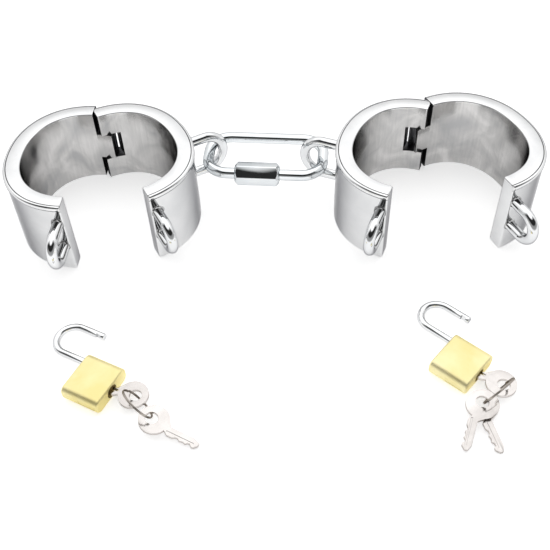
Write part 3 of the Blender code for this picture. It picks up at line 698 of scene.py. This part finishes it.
def knuckle_relief():
    """The corner outside the knuckles, for a pin at the origin and a joint plane at -x."""
    radius = PIN_OFFSET - KNUCKLE_GAP
    arc = [math.radians(180 - 4 * i) for i in range(21)]
    points = [(-radius, -20.0)] + [(radius * math.cos(a), radius * math.sin(a)) for a in arc]
    points += [(points[-1][0], 20.0), (-20.0, 20.0), (-20.0, -20.0)]
    return prism(points, CUT_BACK, CUT_ON)


def slotted_shell(side):
    """The inner shell, with a slot for the tongue between two knuckles."""
    pin = pin_centre(-side)
    shell = raw_object("shell", shift(flip_for(side, band(0.0)), -pin))
    slot = block(
        (CUT_BACK, 0, TONGUE_BOTTOM - SLOT_GAP), (SLOT_LENGTH, CUT_ON, TONGUE_TOP + SLOT_GAP)
    )
    cutters = [
        shift(flip_for(side, slot), -pin),
        flip_for(side, knuckle_relief()),
        round_bar(PIN_BORE_RADIUS, CUT_BACK, PIN_TOP + PIN_END_PLAY),
    ]
    knuckle = PIN_OFFSET - KNUCKLE_GAP

    # Painted gap shade: the slot's cut faces, the faces across the gap and the knuckle's rounded cut go
    # near-black.
    def in_gap_shade(centre, normal):
        if centre.y <= -SLOT_LENGTH:
            return False
        if abs(normal.z) >= UPRIGHT:
            return level_cut(centre, normal)
        slot_end = abs(abs(centre.x + pin.x) - SLOT_LENGTH) < NEAR
        faces_gap = normal.y > TURNED_IN and abs(abs(centre.x) - knuckle) < NEAR
        from_pin = math.hypot(centre.x, centre.y)
        round_cut = abs(normal.y) < SIDEWAYS and from_pin < knuckle + RELIEF_SPARE
        return slot_end or faces_gap or round_cut

    return paint_gap_shade(cut(shell, cutters), in_gap_shade)


def staple_path(reach, pitch):
    """A U of wire in the x-z plane, feet at x = 0, centred on z = 0."""
    bend = pitch / 2
    straight = reach - WIRE_RADIUS - bend
    points = [(0.0, 0.0, bend), (straight * 0.5, 0.0, bend)]
    for i in range(33):
        angle = math.radians(90 - 180 * i / 32)
        points.append((straight + bend * math.cos(angle), 0.0, bend * math.sin(angle)))
    points += [(straight * 0.5, 0.0, -bend), (0.0, 0.0, -bend)]
    return points


def staple(reach, pitch):
    return raw_object("staple", tube(staple_path(reach, pitch), WIRE_RADIUS, 36, up=Vector((0, 1, 0))))


def weld_collar(seed, height):
    """A lumpy fillet round a staple's leg at x = 0; the seed sets its lumps."""
    bm = bmesh.new()
    rings = []
    for i in range(7):
        lean = math.radians(90 * i / 6)
        ring = []
        for j in range(40):
            around = 2 * math.pi * j / 40
            cosine, sine = math.cos(around), math.sin(around)
            wave = noise.noise(Vector((cosine * WELD_LUMP_SCALE, sine * WELD_LUMP_SCALE, seed)))
            spread = WELD_SPREAD * (1 + WELD_SPREAD_LUMPS * wave)
            radius = WIRE_RADIUS - WELD_OVERLAP + spread * (1 - math.sin(lean))
            rise = -WELD_SINK + (WELD_RISE * (1 + WELD_RISE_LUMPS * wave)) * (1 - math.cos(lean))
            ring.append((rise, radius * cosine, height + radius * sine))
        rings.append(ring)
    bridge_rings(bm, rings)
    bmesh.ops.recalc_face_normals(bm, faces=bm.faces)
    return bm


def staple_place(word, which, foot, heading, height, pin):
    """The world place of a staple's frame: +x outward from its foot point."""
    turn = Matrix.Rotation(math.radians(heading), 4, "Z")
    return cuff_place(word, which) @ Matrix.Translation(foot - pin + Vector((0, 0, height))) @ turn


def wall_standoff(offset):
    """How far the wall curves back from its foremost point at a sideways offset."""
    angle = math.pi - math.asin((offset / CUFF_HALF_WIDTH) ** (CUFF_SQUARENESS / 2))
    point, _ = oval_point(angle)
    return CUFF_HALF_DEPTH + point.y


def add_staple(name, place, reach, pitch, body, metals, seed, mouth=None):
    """One staple and the weld round each foot; a weld stops at y = mouth, where that is given."""
    obj = staple(reach, pitch)
    settle(obj, f"{name}_wire", place, [metals["wire"]], body, STEEL_SLOTS["fitting"], [name])
    for number, height in enumerate((pitch / 2, -pitch / 2), start=1):
        collar = raw_object("weld", weld_collar(seed + number, height))
        if mouth is not None:
            stop = max if mouth < 0 else min
            for vert in collar.data.vertices:
                vert.co.y = stop(vert.co.y, mouth)
        settle(collar, f"{name}_weld_{number}", place, [metals["weld"]], body, STEEL_SLOTS["fitting"])


def add_cuff(word, metals):
    """One cuff: two shells, the pin, two lock loops and the link eye."""
    side = -1 if word == "left" else 1
    pin = pin_centre(side)
    # The third material is painted shade: near-black lines at the rim and faces in the hinge gap.
    finish = [metals["polished"], metals["satin"], metals["painted_shade"]]
    shells = (
        ("outer", tongued_shell(side), f"{word}_outer_half"),
        ("inner", slotted_shell(-side), f"{word}_inner_half"),
    )
    for which, shell, body in shells:
        soften(shell, 0.14, 2, 50.0)
        node = f"{word}_{which}_shell"
        place = cuff_place(word, which)
        settle(shell, f"{node}_band", place, finish, body, STEEL_SLOTS["polished"], [node], 28.0)
    pin_steps = (
        (PIN_RADIUS - 0.15, 0.2), (PIN_RADIUS, 0.35),
        (PIN_RADIUS, PIN_TOP - 0.4), (PIN_RADIUS - 0.4, PIN_TOP),
    )
    pin_bar = raw_object("pin", turned(pin_steps))
    node = f"{word}_hinge_pin"
    settle(
        pin_bar, f"{node}_bar", cuff_place(word, "inner"), [metals["wire"]], f"{word}_inner_half",
        STEEL_SLOTS["fitting"], [node],
    )
    foot_y = -CUFF_HALF_DEPTH + wall_standoff(LOOP_INSET - WIRE_RADIUS)
    for which, offset in (("outer", side), ("inner", -side)):
        foot = Vector((offset * LOOP_INSET, foot_y, 0))
        place = staple_place(word, which, foot, -90.0, LOOP_HEIGHT, pin)
        seed = 3 if offset > 0 else 4
        body = f"{word}_{which}_half"
        name = f"{word}_{which}_lock_loop"
        mouth = -offset * (LOOP_INSET - WELD_TO_MOUTH)
        add_staple(name, place, LOOP_REACH, LOOP_PITCH, body, metals, seed, mouth)
    foot = Vector((-side * CUFF_HALF_WIDTH, 0, 0))
    heading = 0.0 if side < 0 else 180.0
    place = staple_place(word, "inner", foot, heading, CUFF_HEIGHT / 2, pin)
    add_staple(f"{word}_link_eye", place, EYE_REACH, EYE_PITCH, f"{word}_inner_half", metals, 11 + side)


# ---------------------------------------------------------------- quick link


def link_place():
    """The link's frame, from the pivots at its two ends."""
    left = Vector(JOINTS["left_link_pivot"]["pos_m"]) / MM
    right = Vector(JOINTS["right_link_pivot"]["pos_m"]) / MM
    along = (right - left).normalized()
    turn = math.atan2(along.y, along.x)
    return Matrix.Translation((left + right) / 2) @ Matrix.Rotation(turn, 4, "Z")


def link_path():
    """The bent bar's centre line and radius, with a thread beside the gate."""
    side = LINK_WIDTH / 2 - LINK_WIRE_RADIUS
    end = LINK_LENGTH / 2 - LINK_WIRE_RADIUS
    rows = []
    for i in range(int(THREAD_LENGTH / THREAD_PITCH * 4)):
        depth = THREAD_DEPTH if i % 4 in (0, 3) else 0.0
        rows.append(((GATE_TO + THREAD_PITCH * i / 4, -side, 0.0), LINK_WIRE_RADIUS - depth))
    rows.append((((end - LINK_BEND) * 0.6, -side, 0.0), LINK_WIRE_RADIUS))
    for x_sign, y_sign, start in ((1, -1, -90), (1, 1, 0), (-1, 1, 90), (-1, -1, 180)):
        for i in range(19):
            angle = math.radians(start + 5 * i)
            x = x_sign * (end - LINK_BEND) + LINK_BEND * math.cos(angle)
            y = y_sign * (side - LINK_BEND) + LINK_BEND * math.sin(angle)
            rows.append(((x, y, 0.0), LINK_WIRE_RADIUS))
    rows.append(((GATE_FROM, -side, 0.0), LINK_WIRE_RADIUS))
    return [point for point, _ in rows], [size for _, size in rows]


def add_quick_link(metals):
    place = link_place()
    points, sizes = link_path()
    bar = raw_object("bar", tube(points, sizes, 40, tip=0.5))
    settle(bar, "quick_link_bar", place, [metals["plate"]], "quick_link", "plated_link", ["quick_link"])
    low, high = NUT_OFFSET - NUT_LENGTH / 2, NUT_OFFSET + NUT_LENGTH / 2
    across = NUT_FLATS / math.sqrt(3)
    corners = [math.radians(NUT_ROLL + 60 * i) for i in range(6)]
    outline = [(across * math.cos(a), across * math.sin(a)) for a in corners]
    nut = raw_object("nut", prism(outline, low, high, axis="x"))
    soften(nut, 0.3, 3, 50.0)
    face, lip = NUT_FLATS / 2 - NUT_FACE_INSET, NUT_FLATS / 2 - NUT_LIP_INSET
    corner_clear = across + NUT_CORNER_SPARE
    steps = (
        (face, low), (lip, low + NUT_LIP_LENGTH), (corner_clear, low + NUT_CHAMFER),
        (corner_clear, high - NUT_CHAMFER), (lip, high - NUT_LIP_LENGTH), (face, high),
    )
    cut(nut, [turned(steps, 64, "x")], "INTERSECT")
    cut(nut, [round_bar(NUT_BORE_RADIUS, low - 5, high + 5, axis="x")])
    soften(nut, 0.12, 2, 35.0)
    nut_place = place @ Matrix.Translation((0, LINK_WIRE_RADIUS - LINK_WIDTH / 2, 0))
    settle(
        nut, "quick_link_sleeve_nut", nut_place, [metals["plate"]], "quick_link_nut", "plated_link",
        ["quick_link_nut"],
    )


# ---------------------------------------------------------------- padlocks


def lock_place(word):
    """The padlock's frame: z along the shackle, y upward, its origin on the plug's axis."""
    joint = JOINTS[f"{word}_plug_turn"]
    along = Vector(joint["axis"]).normalized()
    up = Vector((0, 0, 1))
    turn = Matrix((up.cross(along), up, along)).transposed().to_4x4()
    return Matrix.Translation(Vector(joint["pos_m"]) / MM) @ turn


def case_outline(inset):
    """The case's rounded section as (x, y) points, drawn in by an inset."""
    radius = CASE_SIDE_ROUND - inset
    centre_x = CASE_WIDTH / 2 - CASE_SIDE_ROUND
    centre_y = CASE_THICKNESS / 2 - CASE_SIDE_ROUND
    points = []
    for x_sign, y_sign, start in ((1, 1, 0), (-1, 1, 90), (-1, -1, 180), (1, -1, 270)):
        for i in range(CASE_CORNER_STEPS + 1):
            angle = math.radians(start + 90 * i / CASE_CORNER_STEPS)
            x = x_sign * centre_x + radius * math.cos(angle)
            points.append((x, y_sign * centre_y + radius * math.sin(angle)))
    return points


def case_block():
    """The case with well rounded sides and softer ends, its key face at z = 0."""
    steps = []
    for i in range(CASE_END_STEPS + 1):
        lean = math.radians(90 * i / CASE_END_STEPS)
        steps.append((CASE_END_ROUND * (1 - math.cos(lean)), CASE_END_ROUND * (1 - math.sin(lean))))
    rings = [[(x, y, z) for x, y in case_outline(inset)] for z, inset in steps]
    rings += [[(x, y, CASE_LENGTH - z) for x, y in case_outline(inset)] for z, inset in reversed(steps)]
    bm = bmesh.new()
    bridge_rings(bm, rings)
    bmesh.ops.recalc_face_normals(bm, faces=bm.faces)
    return raw_object("case", bm)


def case_cutters():
    yield round_bar(LEG_BORE_RADIUS, HEEL_BORE_FLOOR, 30, centre=(-LEG_OFFSET, 0))
    yield round_bar(LEG_BORE_RADIUS, TOE_BORE_FLOOR, 30, centre=(LEG_OFFSET, 0))
    yield round_bar(PLUG_BORE_RADIUS, -5, PLUG_BORE_TOP)
    tail_sweep = TAIL_ORBIT + TAIL_RADIUS + TAIL_PLAY
    yield round_bar(tail_sweep, PLUG_BORE_TOP - TAIL_BORE_OVERLAP, LATCH_HEIGHT, sides=24)
    half_width, half_height = LATCH_POCKET_HALF_WIDTH, LATCH_POCKET_HALF_HEIGHT
    yield block(
        (LATCH_POCKET_FROM, -half_width, LATCH_HEIGHT - half_height),
        (LEG_OFFSET, half_width, LATCH_HEIGHT + half_height),
    )
    chamber_from = PLUG_RADIUS - CHAMBER_SINK
    for height in PIN_STACKS:
        yield round_bar(CHAMBER_RADIUS, chamber_from, CHAMBER_END, axis="x", centre=(0, height), sides=20)
    yield block(*STRIP_POCKET)
    for centre, radius, end in PIN_HOLES:
        yield round_bar(radius, -CASE_THICKNESS, end, axis="y", centre=centre, sides=24)


def add_case(word, place, metals):
    case = cut(case_block(), list(case_cutters()))
    soften(case, 0.1, 2, 50.0)
    node = f"{word}_padlock_case"
    settle(case, f"{node}_body", place, [metals["brass"]], f"{word}_padlock", "satin_brass", [node], 30.0)
    strip = raw_object("strip", block(*STRIP))
    node = f"{word}_chamber_strip"
    settle(strip, f"{node}_cap", place, [metals["brass"]], f"{word}_padlock", "satin_brass", [node])


def shackle_path():
    """The bow above the heel neck, heel leg on x = 0 and the free leg at -x."""
    bend = LEG_OFFSET
    spring_line = CASE_LENGTH + SHACKLE_RISE - SHACKLE_RADIUS - bend
    points = [(0.0, 0.0, HEEL_NECK_TO + 0.4), (0.0, 0.0, spring_line - 2.0)]
    for i in range(41):
        angle = math.radians(4.5 * i)
        points.append((-bend + bend * math.cos(angle), 0.0, spring_line + bend * math.sin(angle)))
    points += [(-2 * bend, 0.0, spring_line - 2.0), (-2 * bend, 0.0, CASE_LENGTH + TOE_TIP_LIFT)]
    return [Vector(point) for point in points]


def add_shackle(word, place, metals):
    shackle = raw_object("shackle", tube(shackle_path(), SHACKLE_RADIUS, 36, up=Vector((0, 1, 0)), tip=0.3))
    foot = turned(
        (
            (SHACKLE_RADIUS, HEEL_FOOT), (SHACKLE_RADIUS, HEEL_NECK_FROM),
            (HEEL_NECK_RADIUS, HEEL_NECK_FROM), (HEEL_NECK_RADIUS, HEEL_NECK_TO - 0.2),
            (SHACKLE_RADIUS, HEEL_NECK_TO), (SHACKLE_RADIUS, HEEL_NECK_TO + 0.9),
        ),
        36,
    )
    cut(shackle, [foot], "UNION")
    notch_low = CASE_LENGTH + TOE_TIP_LIFT + NOTCH_RISE
    outer_face = -2 * LEG_OFFSET - SHACKLE_RADIUS
    notch = block((outer_face + NOTCH_REMAINS, -3, notch_low), (outer_face + 4, 3, notch_low + NOTCH_HEIGHT))
    cut(shackle, [round_bar(HEEL_HOLLOW_RADIUS, HEEL_FOOT - 2, HEEL_HOLLOW_TOP, sides=24), notch])
    soften(shackle, 0.08, 2, 50.0)
    leg = place @ Matrix.Translation((-LEG_OFFSET, 0, 0))
    node = f"{word}_shackle"
    settle(shackle, f"{node}_bow", leg, [metals["wire"]], node, "chromed_shackle", [node])


def add_plug(word, place, metals):
    """The turning barrel with its keyway and a small chamfer round its face."""
    body = turned(
        (
            (PLUG_RADIUS - 0.2, 0.1), (PLUG_RADIUS, 0.3), (PLUG_RADIUS, GROOVE_FROM),
            (GROOVE_RADIUS, GROOVE_FROM), (GROOVE_RADIUS, GROOVE_TO),
            (PLUG_RADIUS, GROOVE_TO), (PLUG_RADIUS, PLUG_TOP),
        )
    )
    plug = raw_object("plug", body)
    tail_top = LATCH_HEIGHT - 0.25
    cut(plug, [round_bar(TAIL_RADIUS, PLUG_TOP - 0.2, tail_top, centre=(0, TAIL_ORBIT), sides=16)], "UNION")
    half = KEY_THICKNESS / 2 + 0.12
    cutters = [block((BLADE_BACK - 0.1, -half, -5), (BLADE_FRONT + 0.12, half, KEYWAY_TOP))]
    for height in PIN_STACKS:
        hole_from = BLADE_FRONT - 0.3
        cutters.append(round_bar(CHAMBER_RADIUS, hole_from, 5, axis="x", centre=(0, height), sides=20))
    cut(plug, cutters)
    soften(plug, 0.05, 1, 50.0)
    node = f"{word}_plug"
    settle(plug, f"{node}_barrel", place, [metals["turned_brass"]], node, "satin_brass", [node])


# ---------------------------------------------------------------- keys and rings


def key_outline():
    """The key's flat outline as (x, z) points: bow, neck, then blade with its cuts on +x."""
    points = []
    steps = 60
    neck = math.radians(KEY_BOW_GAP)
    for i in range(steps + 1):
        angle = math.radians(90) + neck + (2 * math.pi - 2 * neck) * i / steps
        x = KEY_BOW_OFFSET + KEY_BOW_RADIUS * math.cos(angle)
        points.append((x, KEY_BOW_CENTRE + KEY_BOW_RADIUS * math.sin(angle)))
    points += [(BLADE_FRONT, KEY_SHOULDER), (BLADE_FRONT, BLADE_FRONT_FROM)]
    for height, depth in zip(PIN_STACKS, KEY_CUTS):
        points.append((BLADE_FRONT - depth, height - KEY_CUT_HALF))
        points.append((BLADE_FRONT - depth, height + KEY_CUT_HALF))
        points.append((BLADE_FRONT, height + KEY_CUT_RAMP))
    points += [(BLADE_FRONT, BLADE_FRONT_TO), (KEY_TIP_FRONT, KEY_TIP), (KEY_TIP_BACK, KEY_TIP)]
    points += [(BLADE_BACK, BLADE_BACK_TO), (BLADE_BACK, KEY_SHOULDER)]
    return points


def key_mesh():
    """A stamped key: soft edges, a large bow hole and a milled groove along each side."""
    half = KEY_THICKNESS / 2
    key = raw_object("key", prism([(z, x) for x, z in key_outline()], -half, half, axis="y"))
    hole = round_bar(KEY_HOLE_RADIUS, -5, 5, axis="y", centre=(KEY_HOLE_CENTRE, KEY_BOW_OFFSET))
    left, right, depth = UPPER_GROOVE
    upper = block((left, half - depth, KEY_GROOVE_FROM), (right, half + 2, KEY_GROOVE_TO))
    left, right, depth = LOWER_GROOVE
    lower = block((left, -half - 2, KEY_GROOVE_FROM), (right, -half + depth, KEY_GROOVE_TO))
    return soften(cut(key, [hole, upper, lower]), 0.13, 3, 35.0)


def add_keys(word, place, metals):
    node = f"{word}_key"
    settle(key_mesh(), f"{node}_blank", place, [metals["nickel"]], node, "nickel_key", [node])
    for number, heading in enumerate(SPARE_HEADINGS[word], start=1):
        joint = JOINTS[f"{word}_spare_key_swing_{number}"]
        normal = Vector(joint["axis"]).normalized()
        flat = math.radians(heading)
        level_heading = Vector((math.cos(flat), math.sin(flat), 0))
        along = (level_heading - normal * level_heading.dot(normal)).normalized()
        right = along.cross(normal)
        turn = Matrix((right, along.cross(right), along)).transposed().to_4x4()
        hole = Matrix.Translation(Vector(joint["pos_m"]) / MM)
        centre = Matrix.Translation((-KEY_BOW_OFFSET, 0, -KEY_HOLE_CENTRE))
        node = f"{word}_spare_key_{number}"
        spare_place = hole @ turn @ centre
        settle(key_mesh(), f"{node}_blank", spare_place, [metals["nickel"]], node, "nickel_key", [node])


def ring_circle(node):
    """Centre, radius, normal and a start direction of a CAD ring, from its mesh."""
    points = [Vector(vert.co) / MM for vert in frame["nodes"][node].data.vertices]
    centre = sum(points, Vector()) / len(points)
    radius = sum((point - centre).length for point in points) / len(points)
    first = (points[0] - centre).normalized()
    normal = max((first.cross(point - centre) for point in points), key=lambda v: v.length).normalized()
    return centre, radius, normal, normal.cross(first).normalized()


def add_ring(word, metals):
    """A split ring: two turns of round wire lying on each other inside the CAD ring."""
    node = f"{word}_key_ring"
    centre, radius, normal, start = ring_circle(node)
    other = normal.cross(start)
    turns, per_turn = 2.0, 72
    steps = int(turns * per_turn)
    points = []
    for i in range(steps + 1):
        angle = 2 * math.pi * i / per_turn
        offset = 2 * (RING_WIRE_RADIUS - COIL_RADIUS) * (i / steps - 0.5)
        points.append(centre + radius * (math.cos(angle) * start + math.sin(angle) * other) + normal * offset)
    ring = raw_object("ring", tube(points, COIL_RADIUS, 16, up=normal, tip=0.1))
    settle(ring, f"{node}_coils", Matrix.Identity(4), [metals["ring"]], node, "nickel_key", [node])


def add_padlock(word, metals):
    place = lock_place(word)
    add_case(word, place, metals)
    add_shackle(word, place, metals)
    add_plug(word, place, metals)
    add_keys(word, place, metals)
    add_ring(word, metals)


def finish_hidden_nodes(metals):
    """Give every CAD node that stays, all of them inside the padlocks, a metal of its own kind."""
    for name, node in frame["nodes"].items():
        if node.hide_render:
            continue
        inner = metals["brass"] if "pin_" in name else metals["spring"]
        node.data.materials.clear()
        node.data.materials.append(inner)


# ---------------------------------------------------------------- light, floor and camera


# The sky in front, as (sine of the elevation, brightness), and the dome's brightness
FRONT_SKY = ((0.12, 0.4), (0.4, 0.3), (0.5, 0.0), (0.84, 0.0), (0.93, 1.0))
HORIZON_TOP = 0.06
FRONT_BLEND = 0.15
SKY_DARK = 0.02
SKY_LIGHT = 1.05
OVERHEAD_FROM = 0.45
OVERHEAD_TO = 0.7
OVERHEAD_GAIN = 1.4


def make_sky():
    """A white studio dome with a dark strip in front, where the room shows, and a brighter top."""
    world = bpy.data.worlds.new("studio")
    bpy.context.scene.world = world
    world.use_nodes = True
    tree = world.node_tree
    add = tree.nodes.new
    place = add("ShaderNodeTexCoord")
    split = add("ShaderNodeSeparateXYZ")
    tree.links.new(place.outputs["Generated"], split.inputs["Vector"])
    height = add("ShaderNodeValToRGB")
    tree.links.new(split.outputs["Z"], height.inputs["Fac"])
    stops = height.color_ramp.elements
    stops[0].position, stops[0].color = 0.0, (1, 1, 1, 1)
    stops[1].position, stops[1].color = HORIZON_TOP, (1, 1, 1, 1)
    for position, value in FRONT_SKY:
        stop = stops.new(position)
        stop.color = (value, value, value, 1)
    front = add("ShaderNodeMapRange")
    tree.links.new(split.outputs["Y"], front.inputs["Value"])
    front.inputs["From Min"].default_value = -FRONT_BLEND
    front.inputs["From Max"].default_value = FRONT_BLEND
    lighter = add("ShaderNodeMath")
    lighter.operation = "MAXIMUM"
    tree.links.new(height.outputs["Color"], lighter.inputs[0])
    tree.links.new(front.outputs["Result"], lighter.inputs[1])
    shade = add("ShaderNodeMapRange")
    tree.links.new(lighter.outputs["Value"], shade.inputs["Value"])
    shade.inputs["To Min"].default_value = SKY_DARK
    shade.inputs["To Max"].default_value = SKY_LIGHT
    over = add("ShaderNodeMapRange")
    tree.links.new(split.outputs["Z"], over.inputs["Value"])
    over.inputs["From Min"].default_value = OVERHEAD_FROM
    over.inputs["From Max"].default_value = OVERHEAD_TO
    over.inputs["To Min"].default_value = 1.0
    over.inputs["To Max"].default_value = OVERHEAD_GAIN
    lit = add("ShaderNodeMath")
    lit.operation = "MULTIPLY"
    tree.links.new(shade.outputs["Result"], lit.inputs[0])
    tree.links.new(over.outputs["Result"], lit.inputs[1])
    background = tree.nodes["Background"]
    tree.links.new(lit.outputs["Value"], background.inputs["Strength"])
    background.inputs["Color"].default_value = (1.0, 1.0, 1.0, 1.0)


FLOOR_SIZE = 6000
FLOOR_GREY = 0.8
FLOOR_GLOW = 0.55


def make_floor():
    bm = bmesh.new()
    bmesh.ops.create_grid(bm, x_segments=1, y_segments=1, size=FLOOR_SIZE)
    floor = raw_object("floor", bm)
    floor.data.transform(Matrix.Scale(MM, 4))
    material, shader, _, _ = new_material("white_sweep")
    shader.inputs["Base Color"].default_value = (FLOOR_GREY, FLOOR_GREY, FLOOR_GREY, 1)
    shader.inputs["Roughness"].default_value = 0.9
    shader.inputs["Specular IOR Level"].default_value = 0.0
    shader.inputs["Emission Color"].default_value = (1, 1, 1, 1)
    shader.inputs["Emission Strength"].default_value = FLOOR_GLOW
    floor.data.materials.append(material)
    floor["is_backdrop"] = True


CAMERA_AT = (-1.5, -223.52, 258.24)
CAMERA_PITCH = 48.37
CAMERA_ROLL = -2.2
CAMERA_LENS = 53.2


def make_camera():
    data = bpy.data.cameras.new("camera")
    data.lens = CAMERA_LENS
    data.sensor_width = 36.0
    data.clip_start = 0.01
    camera = bpy.data.objects.new("camera", data)
    bpy.context.collection.objects.link(camera)
    pitch, roll = math.radians(CAMERA_PITCH), math.radians(CAMERA_ROLL)
    forward = Vector((0, math.cos(pitch), -math.sin(pitch)))
    level_up = Vector((0, math.sin(pitch), math.cos(pitch)))
    across = Vector((1, 0, 0))
    right = across * math.cos(roll) + level_up * math.sin(roll)
    up = level_up * math.cos(roll) - across * math.sin(roll)
    turn = Matrix((right, up, -forward)).transposed().to_4x4()
    camera.matrix_world = Matrix.Translation(Vector(CAMERA_AT) * MM) @ turn
    bpy.context.scene.camera = camera


def make_metals():
    return {
        "polished": polished_steel(),
        "satin": satin_steel(),
        "painted_shade": painted_shade_steel(),
        "wire": chrome_wire(),
        "weld": weld_metal(),
        "plate": plated_steel(),
        "brass": satin_brass(),
        "turned_brass": plug_brass(),
        "nickel": nickel_plate(),
        "ring": ring_wire(),
        "spring": spring_steel(),
    }


def build():
    bpy.context.scene.view_settings.view_transform = "Standard"
    make_camera()
    make_sky()
    make_floor()
    metals = make_metals()
    for word in ("left", "right"):
        add_cuff(word, metals)
    add_quick_link(metals)
    for word in ("left", "right"):
        add_padlock(word, metals)
    finish_hidden_nodes(metals)


def write_sizes():
    """The CAD box and the visual model's box as corner lists, kept in a local table only."""
    boxes = {"cad": CAD_BOX, "visual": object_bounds()}
    sizes = {name: [list(low), list(high)] for name, (low, high) in boxes.items()}


build()
write_sizes()
